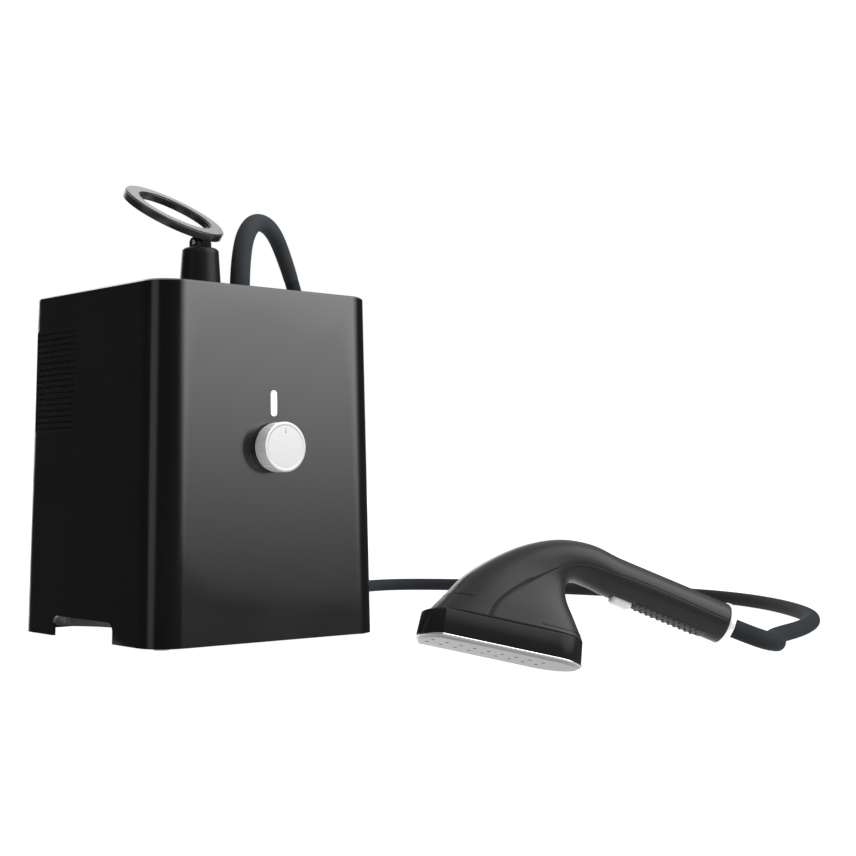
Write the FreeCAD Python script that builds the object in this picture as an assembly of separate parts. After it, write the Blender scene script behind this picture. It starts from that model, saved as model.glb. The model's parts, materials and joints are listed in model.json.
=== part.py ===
"""Tabletop garment steamer: a drafted floor box with tank, pump and boiler, a tilting ring rest on
its top, a free steam hose and a hook-shaped hand steamer.

Millimetres. The origin is the middle of the box's footprint on the floor, +Z is up and the front
with its knob looks along -Y.
"""
import FreeCAD, Part
import math
import os

from FreeCAD import Placement, Rotation, Vector

# Box: outside sizes at the floor, the walls lean in by the draft
BASE_W = 250.0
BASE_D = 250.0
BASE_H = 320.0
DRAFT = 1.0
CORNER_R = 28.0
WALL = 3.0
TOP_EDGE = 1.5
FOOT_GAP = 1.5          # skirt above the floor
PAD_R = 7.0
PAD_IN = 17.0           # pad centre from the outside of the skirt
PAD_RECESS = 2.0
LEG_R = 9.0
PLATE_T = 3.0
PAN_Z = 9.0             # foot of the rim under the floor plate
PAN_IN = 14.0           # rim from the outside of the skirt
GRIP_DEEP = 40.0        # finger recess, from the outside of the skirt
NOTCH_W = 108.0         # hand grips low in the side walls
NOTCH_H = 18.5
NOTCH_R = 8.0
BOSS_W = 14.0           # screw bosses inside the front and rear walls
BOSS_OUT = 12.0
BOSS_H = 22.0
BOSS_X = 66.0
SCREW_R = 2.0
SCREW_HEAD_R = 4.0
SCREW_HEAD_H = 2.5
SCREW_IN = 16.0

# Vent fields of the side walls
VENT_W = 74.0
VENT_H = 98.0
VENT_Y = BASE_D / 2 - 64.0
VENT_Z = BASE_H - 81.0
VENT_HOLE_R = 1.3
VENT_PITCH = 5.6
VENT_EDGE = 3.0

# Knob, rotary switch and light bar on the front
KNOB_Z = 175.0
KNOB_R = 22.5
KNOB_H = 17.5
KNOB_GAP = 0.8
KNOB_BAND_H = 3.0
KNOB_BAND_IN = 0.8
KNOB_EDGE = 1.2
FACE_IN = 2.0
FACE_T = 0.8
TICK_W = 1.4
TICK_L = 5.0
SHAFT_R = 3.0
SHAFT_GRIP = 10.0
BUSH_R = 5.0
NUT_R = 8.0
NUT_T = 2.5
SWITCH_W = 30.0
SWITCH_T = 20.0
LIGHT_Z = KNOB_Z + 40.0
LIGHT_W = 6.2
LIGHT_H = 23.0
LIGHT_PROUD = 0.4
LIGHT_FLANGE = 2.5
LAMP_T = 8.0
RUN_FIT = 0.05          # radial play of a running shaft
GAP = 0.3               # play between pieces that slide or swing past each other
ROUND_END = 0.01        # least straight stretch at a fully rounded end

# Water tank in the rear wall and the bay that it slides in
TANK_W = 160.0
TANK_D = 70.0
TANK_Z = 72.0
TANK_H = BASE_H - TANK_Z - 48.0
TANK_WALL = 2.5
TANK_PLAY = 0.5
SCOOP_W = 64.0
SCOOP_H = 18.0
SCOOP_D = 11.0
CAP_R = 19.0
CAP_FLANGE = 4.0
CAP_T = 3.0
CAP_DEEP = 9.0
CAP_POCKET = 14.0
CAP_POCKET_OUT = 12.0    # pocket's outer edge from the middle
CAP_BAR = 6.0
BAY_T = 3.0
BAY_DROP = 40.0         # bulkhead of the bay below the tank's top
BAY_WEB_X = 50.0
PORT_R = 6.0
PORT_UP = 18.0
PROBE_IN = 9.0
PROBE_OUT = 16.0
PORT_BUSH_R = 10.0

# Boiler, pump, steam valve, board and tubes
BOILER_R = 46.0
BOILER_H = BASE_H - 180.0
BOILER_DOME = 14.0
BOILER_WALL = 1.5
STAND_H = 24.0
STAND_T = 3.0
STAND_CLEAR = 17.0      # stand from the inside of the walls
BOILER_X = -(BASE_W / 2 - WALL - STAND_CLEAR - STAND_T - BOILER_R)
BOILER_Y = -(BASE_D / 2 - WALL - STAND_CLEAR - STAND_T - BOILER_R)
HEATER_R = 28.0
HEATER_TUBE = 4.0
HEATER_UP = 24.0
STUB_R = 6.0
STUB_OUT = 8.0
PUMP_W = 46.0
PUMP_CLEAR = 25.0       # pump from the inside of the right wall
PUMP_X = BASE_W / 2 - WALL - PUMP_CLEAR - PUMP_W / 2
PUMP_H = 50.0
PUMP_MOUNT_H = 34.0
PUMP_MOUNT_OUT = 6.0
TUBE_R = 4.0
TUBE_WALL = 1.2
VALVE_W = 26.0
VALVE_H = 32.0
STEAM_TUBE_Z = BASE_H - 56.0
BEND_R = 10.0
BOARD_W = 70.0
BOARD_H = 90.0
BOARD_T = 1.6
BOARD_X = 42.0
BOARD_DROP = 7.0        # board below the bulkhead's top
BOARD_Z = TANK_Z + TANK_H - BAY_DROP - BOARD_DROP - BOARD_H / 2
POST_R_BOARD = 3.0
BOARD_OFF = 10.0
CHIP_H = 12.0
INLET_W = 27.0
INLET_H = 20.0
INLET_CLEAR = 19.5      # from the wall's outside to the inlet's flange
INLET_Z = 45.0
INLET_FLANGE = 4.0
INLET_FLANGE_T = 2.0
INLET_DEEP = 22.0
INLET_WALL = 2.0
INLET_PIN_T = 2.0
INLET_PIN_W = 4.0
INLET_PIN_X = 7.0
INLET_PIN_Z = 2.8
INLET_X = INLET_CLEAR + INLET_FLANGE + INLET_W / 2 - BASE_W / 2

# Post and ring rest on the top
COLLAR_R = 24.0
COLLAR_H = 4.0
POST_R = 20.5
POST_TOP_R = 17.5
POST_H = 45.0
POST_EDGE = 2.0
STEM_R = 9.0
STEM_L = 14.0
STEM_NUT_R = 15.0
STEM_NUT_T = 6.0
PIN_UP = 5.0            # pin above the post's top
PIN_R = 2.5
EAR_R = 5.2
EAR_T = 4.5
LUG_W = 11.0
RING_R = 52.0
RING_HOLE_R = 37.0
RING_T = 8.0
RING_FACE_T = 1.0
RING_FACE_IN = 1.4
RING_REACH = 45.6       # pin to the ring's centre, along the ring
RING_UP = 9.9           # pin to the ring's middle plane
RING_TILT = 31.8
FORK_TURN = 17.6        # the fork is turned to the left on the post

# Hose, its gland on the top and its bend guard
HOSE_R = 7.5
HOSE_BORE_R = 4.5
GLAND_X = 46.0
GLAND_R = 15.0
GLAND_T = 6.0
GLAND_TAIL_R = 8.0
GLAND_TAIL = 14.0
GUARD_R = 10.0
GUARD_END_R = 8.3
GUARD_RUNS = 4          # runs of the hose route that the guard covers

# Hand steamer in its own frame: +X to the toe, +Z from the sole to the handle
HEAD_HALF = 44.0        # half of the straight sides
HEAD_W = 56.0
TOE = 9.0
HEEL = 31.0
SOLE_T = 2.0
SOLE_BEVEL = 3.0
SOLE_HOLE_R = 1.5
SOLE_PITCH = 11.0
SOLE_ROW = 14.0
RIM_T = 1.2
RIM_W = 6.0
BAND_TOP = 22.0
BAND_LEAN = 1.5
BAND_WALL = 2.5
RIM_PROUD = 0.4
CHAMBER_IN = 7.0
CHAMBER_H = 12.0
SHELL = 2.5
HANDLE_R = 16.0
HANDLE_SLOPE = 9.2
HANDLE_LONG = 98.0
NECK = (-93.26, 77.0)    # middle of the handle's front end
HANDLE_END = (
    NECK[0] - HANDLE_LONG * math.cos(math.radians(HANDLE_SLOPE)),
    NECK[1] - HANDLE_LONG * math.sin(math.radians(HANDLE_SLOPE)))
# hook stations from the head to the handle: rear x z, front x z, width
HOOK = [
    (-72.0, BAND_TOP, 47.0, BAND_TOP, 53.0),
    (-64.0, 36.0, 35.0, 39.0, 48.0),
    (-56.5, 49.0, 23.5, 55.0, 42.0),
    (-54.5, 58.5, 6.0, 70.5, 37.0),
    (-57.0, 64.5, -19.0, 86.5, 34.0),
    (-63.5, 66.5, -44.5, 96.0, 32.5),
    (-74.5, 65.0, -70.0, 98.0, 32.0),
]
HOOK_SQUARE = 0.8       # exponent of the head's stations, 1 is an ellipse
HOOK_POINTS = 4         # steps of half a section
LOFT_DEGREE = 3
# seam between the front and the rear shell, from the neck down to the band
SEAM = [(-58.0, 78.0), (-28.0, 62.0), (11.0, BAND_TOP), (11.0, 0.0)]
END_RING_R = 16.8
END_RING_T = 5.0
END_RING_EDGE = 1.2
FERRULE_R = 8.5
FERRULE_OUT = 7.0
FERRULE_IN = 30.0
FERRULE_FLANGE_R = 11.0
FERRULE_FLANGE_T = 5.0
TRIGGER_L = 18.0
TRIGGER_AT = HANDLE_LONG - TRIGGER_L - 3.0      # from the handle's end
TRIGGER_W = 11.0
TRIGGER_PROUD = 4.5
TRIGGER_EDGE = 2.0
TRIGGER_FLANGE = 2.0
TRIGGER_FLANGE_T = 2.0
TRIGGER_TRAVEL = 3.0
CARRIER_L = 30.0
CARRIER_T = 6.0
PAD_AT = 14.0
PAD_L = TRIGGER_AT - PAD_AT - 2.0
PAD_W = 17.0
PAD_PROUD = 0.6
NUB_PROUD = 1.5
NUB_R = 1.3
NUB_PITCH = 5.0
NUB_TURNS = (-24.0, -8.0, 8.0, 24.0)
PIPE_R = 4.0
PIPE_WALL = 0.8
PIPE_LIFT = 7.5
PIPE_BEND = 9.0
PIPE_STATIONS = (5, 3, 1)   # hook stations whose middle the pipe runs through
HEADING = 155.0         # where the toe points, from +X
TOE_UP = 13.1
ROLL = 11.0
HAND_X = -25.7
HAND_Y = -423.6

# Hose route past the gland: up and over, down beside the box, then round on the floor
HOSE_ARCH = [
    (46, 0, 372), (73, 18, 408), (118, 46, 409), (150, 62, 372), (178, 74, 320), (190, 84, 226),
    (196, 92, 128), (208, 106, 48),
]
HOSE_FLOOR = [
    (248, 143), (332, 222), (425, 300), (508, 322), (574, 258), (620, 140), (652, 12), (664, -92),
    (634, -186), (578, -272), (500, -354), (408, -404), (318, -432),
]
HOSE_RISE = [(264, -470, 10), (226, -505, 14)]
HOSE_LEAVE = 31.0       # straight run out of the handle
ARC_SHARE = 0.45        # part of the shorter run that a bend may use

UP = Vector(0, 0, 1)
LEAN = math.tan(math.radians(DRAFT))
PLATE_Z = FOOT_GAP + NOTCH_H
FLOOR_Z = PLATE_Z + PLATE_T
INNER_TOP = BASE_H - WALL
TUBE_Z = TANK_Z + PORT_UP
TANK_TOP = TANK_Z + TANK_H
TANK_FRONT = BASE_D / 2 - TANK_Z * LEAN - TANK_D
POST_TOP = BASE_H + COLLAR_H + POST_H
PIN_Z = POST_TOP + PIN_UP
FORK = Rotation(UP, FORK_TURN)


def box(x0, x1, y0, y1, z0, z1):
    return Part.makeBox(x1 - x0, y1 - y0, z1 - z0, Vector(x0, y0, z0))


def rod(radius, start, end):
    return Part.makeCylinder(radius, (end - start).Length, start, end - start)


def turned(profile):
    """Solid of revolution about the z axis from (radius, z) points."""
    points = [Vector(r, 0, z) for r, z in profile]
    face = Part.Face(Part.makePolygon(points + points[:1]))
    return face.revolve(Vector(), UP, 360)


def placed(shape, placement):
    moved = shape.copy()
    moved.Placement = placement.multiply(moved.Placement)
    return moved


def prism(points, depth):
    """Closed outline in the xz plane, extruded both ways along y."""
    corners = [Vector(x, -depth, z) for x, z in points]
    return Part.Face(Part.makePolygon(corners + corners[:1])).extrude(Vector(0, 2 * depth, 0))


def rounded_outline(half_x, half_y, radius, z=0.0):
    """Closed wire of four arcs and four lines round the z axis."""
    arcs = []
    for quarter, (sx, sy) in enumerate([(1, 1), (-1, 1), (-1, -1), (1, -1)]):
        centre = Vector(sx * (half_x - radius), sy * (half_y - radius), z)
        start = math.radians(90 * quarter)
        arcs.append(Part.Circle(centre, UP, radius).toShape(start, start + math.pi / 2))
    edges = []
    for arc, following in zip(arcs, arcs[1:] + arcs[:1]):
        edges.append(arc)
        end = arc.valueAt(arc.LastParameter)
        edges.append(Part.makeLine(end, following.valueAt(following.FirstParameter)))
    return Part.Wire(edges)


def rounded_block(half_x, half_y, radius, z0, z1):
    return Part.Face(rounded_outline(half_x, half_y, radius, z0)).extrude(Vector(0, 0, z1 - z0))


def drafted_block(z0, z1, inset=0.0, chamfer=0.0):
    """The box's outline between two heights, each wall leaning in by the draft."""
    wires = []
    for z, extra in ((z0, 0.0), (z1, chamfer)):
        lean = z * LEAN + inset + extra
        wires.append(rounded_outline(BASE_W / 2 - lean, BASE_D / 2 - lean, CORNER_R - inset - extra, z))
    return Part.makeLoft(wires, True, True)


def wall_frame(turn, half, z):
    """Frame on the outside of a wall: x to the right, y up the wall and z outwards."""
    front = Placement(Vector(0, -(half - z * LEAN), z), Rotation(Vector(1, 0, 0), 90 - DRAFT))
    return Placement(Vector(), Rotation(UP, turn)).multiply(front)


FRONT_KNOB = wall_frame(0, BASE_D / 2, KNOB_Z)
FRONT_LIGHT = wall_frame(0, BASE_D / 2, LIGHT_Z)
REAR_INLET = wall_frame(180, BASE_D / 2, INLET_Z)
SIDES = {"right": (90, 1), "left": (-90, -1)}


def cavity():
    return drafted_block(FLOOR_Z, INNER_TOP, WALL)


def light_outline(grow, z0, z1):
    return rounded_block(LIGHT_W / 2 + grow, LIGHT_H / 2 + grow, LIGHT_W / 2 + grow - ROUND_END, z0, z1)


def vent_window(side):
    """Outline of a side wall's vent field as a face on the wall's outside, and its frame."""
    turn, sign = SIDES[side]
    outline = rounded_outline(VENT_W / 2, VENT_H / 2, VENT_EDGE)
    outline.translate(Vector(sign * VENT_Y, 0, 0))
    return outline, wall_frame(turn, BASE_W / 2, VENT_Z), sign * VENT_Y


def tank_block(grow=0.0):
    """Outside of the tank, flush with the rear wall, or its opening grown by the play."""
    half = TANK_W / 2 + grow
    back = BASE_D / 2 + WALL
    return box(-half, half, TANK_FRONT - grow, back, TANK_Z - grow, TANK_Z + TANK_H + grow)


def inlet_block(grow, z0, z1):
    block = rounded_block(INLET_W / 2 + grow, INLET_H / 2 + grow, INLET_FLANGE, z0, z1)
    block.translate(Vector(-INLET_X, 0, 0))
    return placed(block, REAR_INLET)


def screw_places():
    y = BASE_D / 2 - FLOOR_Z * LEAN - WALL - BOSS_OUT / 2
    return [(sx * BOSS_X, sy * y) for sx in (-1, 1) for sy in (-1, 1)]


def outer_shell():
    """One-piece moulded cover: four drafted walls and the top, with its bosses and openings."""
    body = drafted_block(FOOT_GAP, BASE_H - TOP_EDGE)
    body = body.fuse(drafted_block(BASE_H - TOP_EDGE, BASE_H, 0.0, TOP_EDGE))
    body = body.cut(drafted_block(FOOT_GAP, INNER_TOP, WALL))
    for x, y in screw_places():
        boss = box(x - BOSS_W / 2, x + BOSS_W / 2, y - BOSS_OUT, y + BOSS_OUT, FLOOR_Z, FLOOR_Z + BOSS_H)
        rear = 1 if y > 0 else -1
        edge = y - rear * BOSS_OUT / 2
        keep = box(-BASE_W, BASE_W, min(edge, rear * BASE_D), max(edge, rear * BASE_D), 0, BASE_H)
        boss = boss.common(cavity()).common(keep)
        body = body.fuse(boss.cut(rod(SCREW_R, Vector(x, y, FLOOR_Z), Vector(x, y, FLOOR_Z + SCREW_IN))))
    notch = Part.Face(rounded_outline(NOTCH_W / 2, NOTCH_H, NOTCH_R)).extrude(Vector(0, 0, 2 * BASE_W))
    across = Placement(Vector(-BASE_W, 0, FOOT_GAP), Rotation(Vector(1, 1, 1), 120))
    body = body.cut(placed(notch, across))
    body = body.cut(placed(Part.makeCylinder(BUSH_R, 3 * WALL, Vector(0, 0, -2 * WALL)), FRONT_KNOB))
    body = body.cut(placed(light_outline(0, -2 * WALL, WALL), FRONT_LIGHT))
    for side in SIDES:
        outline, frame, _ = vent_window(side)
        outline.translate(Vector(0, 0, -2 * WALL))
        body = body.cut(placed(Part.Face(outline).extrude(Vector(0, 0, 3 * WALL)), frame))
    body = body.cut(tank_block(TANK_PLAY))
    body = body.cut(inlet_block(0, -2 * WALL, WALL))
    body = body.cut(rod(STEM_R, Vector(0, 0, INNER_TOP - WALL), Vector(0, 0, BASE_H + WALL)))
    tail = Vector(GLAND_X, 0, INNER_TOP - WALL)
    body = body.cut(rod(GLAND_TAIL_R, tail, tail + Vector(0, 0, 3 * WALL)))
    return body.removeSplitter()


def base_plate():
    """Floor of the box with a low rim under it, drawn in for the fingers at both hand grips."""
    slice_z = box(-BASE_W, BASE_W, -BASE_D, BASE_D, PLATE_Z, FLOOR_Z)
    plate = drafted_block(FOOT_GAP, INNER_TOP, WALL).common(slice_z)
    half_x, half_y = BASE_W / 2 - PAN_IN, BASE_D / 2 - PAN_IN
    pan = rounded_block(half_x, half_y, CORNER_R - PAN_IN, PAN_Z, PLATE_Z)
    inside = rounded_block(half_x - WALL, half_y - WALL, CORNER_R - PAN_IN - WALL, PAN_Z, PLATE_Z)
    deep = GRIP_DEEP - PAN_IN
    round_r = ((NOTCH_W / 2) ** 2 + deep ** 2) / (2 * deep)
    for side in (-1, 1):
        low = Vector(side * (half_x - deep + round_r), 0, PAN_Z)
        high = low + Vector(0, 0, PLATE_Z - PAN_Z)
        pan = pan.cut(rod(round_r, low, high))
        inside = inside.cut(rod(round_r + WALL, low, high))
    plate = plate.fuse(pan.cut(inside))
    for x, y in pad_places():
        leg = rod(LEG_R, Vector(x, y, FOOT_GAP), Vector(x, y, PLATE_Z))
        plate = plate.fuse(leg.common(drafted_block(FOOT_GAP, PLATE_Z, WALL + GAP)))
    for x, y in pad_places():
        plate = plate.cut(rod(PAD_R, Vector(x, y, 0), Vector(x, y, FOOT_GAP + PAD_RECESS)))
    for x, y in screw_places():
        plate = plate.cut(rod(SCREW_R, Vector(x, y, PLATE_Z), Vector(x, y, FLOOR_Z)))
    return plate.removeSplitter()


def pad_places():
    """Four pads near the corners and one under the middle."""
    x, y = BASE_W / 2 - PAD_IN, BASE_D / 2 - PAD_IN
    return [(sx * x, sy * y) for sx in (-1, 1) for sy in (-1, 1)] + [(0.0, 0.0)]


def foot_pads():
    top = FOOT_GAP + PAD_RECESS
    return Part.Compound([rod(PAD_R, Vector(x, y, 0), Vector(x, y, top)) for x, y in pad_places()])


def base_screws():
    screws = []
    for x, y in screw_places():
        shank = rod(SCREW_R, Vector(x, y, PLATE_Z), Vector(x, y, FLOOR_Z + SCREW_IN))
        head = rod(SCREW_HEAD_R, Vector(x, y, PLATE_Z - SCREW_HEAD_H), Vector(x, y, PLATE_Z))
        screws.append(shank.fuse(head).removeSplitter())
    return Part.Compound(screws)


def vent_grille(side):
    """Perforated insert: one holed face, as thick as the wall."""
    outline, frame, middle = vent_window(side)
    columns = int((VENT_W / 2 - VENT_EDGE) / VENT_PITCH)
    rows = int((VENT_H / 2 - VENT_EDGE) / VENT_PITCH)
    holes = []
    for i in range(-columns, columns + 1):
        for j in range(-rows, rows + 1):
            centre = Vector(middle + i * VENT_PITCH, j * VENT_PITCH, 0)
            circle = Part.Circle(centre, Vector(0, 0, -1), VENT_HOLE_R).toShape()
            holes.append(Part.Wire(circle))
    plate = Part.Face([outline] + holes).extrude(Vector(0, 0, -WALL * math.cos(math.radians(DRAFT))))
    return placed(plate, frame)


def control_knob():
    """Turned metal cap with a narrow band at its foot and a recess for its face disc."""
    foot = KNOB_GAP + KNOB_BAND_H
    recess = KNOB_R - KNOB_EDGE - FACE_IN
    cap = turned([
        (0, KNOB_GAP), (KNOB_R - KNOB_BAND_IN, KNOB_GAP), (KNOB_R - KNOB_BAND_IN, foot), (KNOB_R, foot),
        (KNOB_R, KNOB_H - KNOB_EDGE), (KNOB_R - KNOB_EDGE, KNOB_H), (recess, KNOB_H),
        (recess, KNOB_H - FACE_T), (0, KNOB_H - FACE_T),
    ])
    cap = cap.cut(Part.makeCylinder(SHAFT_R, SHAFT_GRIP))
    cap = cap.cut(Part.makeCylinder(NUT_R + KNOB_GAP, NUT_T + 2 * KNOB_GAP))
    return placed(cap, FRONT_KNOB)


def knob_face():
    """Face disc of the knob, with its pointer cut through at twelve o'clock."""
    radius = KNOB_R - KNOB_EDGE - FACE_IN
    disc = Part.makeCylinder(radius, FACE_T, Vector(0, 0, KNOB_H - FACE_T))
    top = radius - FACE_IN
    tick = box(-TICK_W / 2, TICK_W / 2, top - TICK_L, top, KNOB_H - FACE_T, KNOB_H)
    return placed(disc.cut(tick), FRONT_KNOB)


def knob_shaft():
    inner = -WALL - SWITCH_T / 2
    return placed(Part.makeCylinder(SHAFT_R, SHAFT_GRIP - inner, Vector(0, 0, inner)), FRONT_KNOB)


def rotary_switch():
    """Switch block against the inside of the front wall, with its bush through the wall."""
    half = SWITCH_W / 2
    inner = -WALL * math.cos(math.radians(DRAFT))
    block = box(-half, half, -half, half, inner - SWITCH_T, inner)
    bush = Part.makeCylinder(BUSH_R, NUT_T - inner, Vector(0, 0, inner))
    bore = Part.makeCylinder(SHAFT_R + RUN_FIT, SWITCH_T + WALL, Vector(0, 0, -WALL - SWITCH_T / 2))
    return placed(block.fuse(bush).cut(bore).removeSplitter(), FRONT_KNOB)


def switch_nut():
    ring = Part.makeCylinder(NUT_R, NUT_T).cut(Part.makeCylinder(BUSH_R, NUT_T))
    return placed(ring, FRONT_KNOB)


def light_bar():
    """Milk-white lens through the front wall, with a flange behind it."""
    inner = -WALL * math.cos(math.radians(DRAFT))
    lens = light_outline(0, inner, LIGHT_PROUD)
    flange = light_outline(LIGHT_FLANGE, inner - LIGHT_FLANGE, inner)
    return placed(lens.fuse(flange).removeSplitter(), FRONT_LIGHT)


def lamp_board():
    back = -WALL * math.cos(math.radians(DRAFT)) - LIGHT_FLANGE
    half = LIGHT_W / 2 + LIGHT_FLANGE
    board = box(-half, half, -LIGHT_H / 2, LIGHT_H / 2, back - LAMP_T, back)
    return placed(board, FRONT_LIGHT)


def water_tank():
    """Pull-out tank: flush rear face with a finger scoop, filler hole on top and outlet in front."""
    tank = tank_block().common(drafted_block(0, BASE_H))
    side = TANK_W / 2 - TANK_WALL
    rear = BASE_D / 2 - TANK_TOP * LEAN - TANK_WALL
    room = box(-side, side, TANK_FRONT + TANK_WALL, rear, TANK_Z + TANK_WALL, TANK_TOP - TANK_WALL)
    scoop_z = TANK_TOP - 2 * SCOOP_H
    half = SCOOP_W / 2
    high = SCOOP_H / 2
    lining = box(
        -half - TANK_WALL, half + TANK_WALL, rear - SCOOP_D - TANK_WALL, rear,
        scoop_z - high - TANK_WALL, scoop_z + high + TANK_WALL)
    pocket = rounded_block(half, high, high - ROUND_END, 0, SCOOP_D + 2 * TANK_WALL + WALL)
    scoop = placed(pocket, Placement(Vector(0, rear - SCOOP_D, scoop_z), Rotation(Vector(1, 0, 0), -90)))
    filler = cap_place()
    seat = filler - Vector(0, 0, CAP_T)
    neck_foot = seat - Vector(0, 0, TANK_WALL)
    neck = rod(CAP_R + CAP_FLANGE + TANK_WALL, neck_foot, filler)
    tank = tank.cut(room.cut(lining).cut(neck)).cut(scoop)
    tank = tank.cut(rod(CAP_R, neck_foot, filler))
    tank = tank.cut(rod(CAP_R + CAP_FLANGE + GAP, seat, filler))
    port = Vector(0, TANK_FRONT, TUBE_Z)
    return tank.cut(rod(PORT_BUSH_R, port, port + Vector(0, TANK_WALL, 0)))


def cap_place():
    return Vector(0, TANK_FRONT + (TANK_D - SCOOP_D) / 2, TANK_TOP)


def tank_cap():
    """Filler stopper let in flush, with two pockets that leave a bar to pinch."""
    radius = CAP_R - GAP
    plug = turned([
        (0, -CAP_T - CAP_DEEP), (radius - TANK_WALL, -CAP_T - CAP_DEEP), (radius, -CAP_T - TANK_WALL),
        (radius, -CAP_T), (CAP_R + CAP_FLANGE, -CAP_T), (CAP_R + CAP_FLANGE, 0), (0, 0),
    ])
    for x in (-CAP_POCKET_OUT, CAP_BAR / 2):
        pocket = box(x, x + CAP_POCKET_OUT - CAP_BAR / 2, -CAP_POCKET / 2, CAP_POCKET / 2, -CAP_DEEP, 0)
        plug = plug.cut(pocket)
    plug.translate(cap_place())
    return plug


def port_bush():
    """Outlet bush in the tank's front wall, which slips over the probe."""
    bore = PORT_R + RUN_FIT
    flange = PORT_BUSH_R + TANK_WALL
    end = PROBE_IN + TANK_WALL
    bush = turned([
        (bore, 0), (PORT_BUSH_R, 0), (PORT_BUSH_R, TANK_WALL), (flange, TANK_WALL), (flange, end),
        (bore, end),
    ])
    return placed(bush, Placement(Vector(0, TANK_FRONT, TUBE_Z), Rotation(Vector(1, 0, 0), -90)))


def tank_bay():
    """Shelf and bulkhead that carry the tank, on two webs from the floor plate."""
    half = TANK_W / 2 + TANK_PLAY
    wall_y = TANK_FRONT - TANK_PLAY
    rear = BASE_D / 2
    shelf = box(-half, half, wall_y - BAY_T, rear, TANK_Z - BAY_T, TANK_Z)
    bulkhead = box(-half, half, wall_y - BAY_T, wall_y, TANK_Z - BAY_T, TANK_TOP - BAY_DROP)
    bay = shelf.fuse(bulkhead)
    for x in (-BAY_WEB_X, BAY_WEB_X):
        bay = bay.fuse(box(x - BAY_T / 2, x + BAY_T / 2, wall_y - BAY_T, rear, FLOOR_Z, TANK_Z - BAY_T))
    inside = drafted_block(FOOT_GAP, INNER_TOP, WALL)
    probe = Vector(0, wall_y, TUBE_Z)
    bay = bay.common(inside).cut(rod(PORT_R, probe - Vector(0, BAY_T, 0), probe))
    return bay.removeSplitter()


def tank_probe():
    start = Vector(0, TANK_FRONT - TANK_PLAY - BAY_T - PROBE_OUT, TUBE_Z)
    end = Vector(0, TANK_FRONT + PROBE_IN, TUBE_Z)
    return rod(PORT_R, start, end).cut(rod(TUBE_R - TUBE_WALL, start, end))


def boiler_z():
    return FLOOR_Z + STAND_H


def dome(radius, rise, z, way):
    """Arc of a shallow dome from the axis out to its radius."""
    ball = (radius ** 2 + rise ** 2) / (2 * rise)
    half = math.asin(radius / ball) / 2
    quarter = Vector(ball * math.sin(half), 0, z + way * ball * (1 - math.cos(half)))
    return [Vector(0, 0, z), quarter, Vector(radius, 0, z + way * rise)]


def boiler():
    """Domed steel vessel, hollow, with a feed stub on its side."""
    foot = boiler_z()
    skins = []
    for t in (0, BOILER_WALL):
        low = dome(BOILER_R - t, BOILER_DOME, t, 1)
        high = dome(BOILER_R - t, BOILER_DOME, BOILER_H - t, -1)
        edges = [Part.Arc(*low).toShape(), Part.makeLine(low[2], high[2]), Part.Arc(*high).toShape()]
        edges.append(Part.makeLine(high[0], low[0]))
        skins.append(Part.Face(Part.Wire(Part.__sortEdges__(edges))).revolve(Vector(), UP, 360))
    vessel = skins[0].cut(skins[1])
    inlet = TUBE_Z - foot
    stub_end = Vector(BOILER_R + STUB_OUT, 0, inlet)
    stub = rod(STUB_R, Vector(BOILER_R - 2 * BOILER_WALL, 0, inlet), stub_end)
    vessel = vessel.fuse(stub.cut(skins[1]))
    feed = TUBE_R - TUBE_WALL
    vessel = vessel.cut(rod(feed, Vector(BOILER_R / 2, 0, inlet), stub_end))
    for x in (-HEATER_R, HEATER_R):
        vessel = vessel.cut(rod(HEATER_TUBE, Vector(x, 0, -BOILER_DOME), Vector(x, 0, HEATER_UP)))
    vessel = vessel.cut(rod(feed, Vector(0, 0, BOILER_H / 2), Vector(0, 0, BOILER_H + BOILER_DOME)))
    vessel.translate(Vector(BOILER_X, BOILER_Y, foot))
    return vessel


def boiler_stand():
    """Ring stand that carries the boiler's lower edge above the floor plate."""
    outer = BOILER_R + STAND_T
    inner = BOILER_R - BOILER_DOME
    top = STAND_H + BOILER_DOME + STAND_T
    stand = turned([
        (inner, 0), (outer, 0), (outer, top), (BOILER_R, top), (BOILER_R, STAND_T), (inner, STAND_T)])
    stand.translate(Vector(BOILER_X, BOILER_Y, FLOOR_Z))
    return stand


def heater():
    """Bent tubular heater: two legs through the vessel's floor and a half loop between them."""
    start = Part.Circle(Vector(HEATER_R, 0, HEATER_UP), UP, HEATER_TUBE).toShape()
    loop = Part.Face(Part.Wire(start)).revolve(Vector(0, 0, HEATER_UP), Vector(0, -1, 0), 180)
    element = loop
    for x in (-HEATER_R, HEATER_R):
        element = element.fuse(rod(HEATER_TUBE, Vector(x, 0, -BOILER_DOME), Vector(x, 0, HEATER_UP)))
    element = element.removeSplitter()
    element.translate(Vector(BOILER_X, BOILER_Y, boiler_z()))
    return element


def steam_valve():
    """Solenoid valve block standing on the boiler's crown."""
    crown = Vector(BOILER_X, BOILER_Y, boiler_z() + BOILER_H)
    half = VALVE_W / 2
    foot = STUB_OUT
    block = box(-half, half, -half, half, foot, foot + VALVE_H)
    neck = Part.makeCylinder(STUB_R, foot)
    bore = Part.makeCylinder(TUBE_R - TUBE_WALL, foot + VALVE_H)
    valve = block.fuse(neck).cut(bore).removeSplitter()
    valve.translate(crown)
    return valve


def pump():
    """Vibration pump: square yoke with a round coil and a port on two sides."""
    half = PUMP_W / 2
    y0, y1 = BOILER_Y - half, BOILER_Y + half
    low = FLOOR_Z + PUMP_MOUNT_H
    yoke = box(PUMP_X - half, PUMP_X + half, y0, y1, low, low + PUMP_H)
    coil = Part.makeCylinder(half, PUMP_H / 2, Vector(PUMP_X, BOILER_Y, low + PUMP_H))
    return yoke.fuse(coil).removeSplitter()


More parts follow.
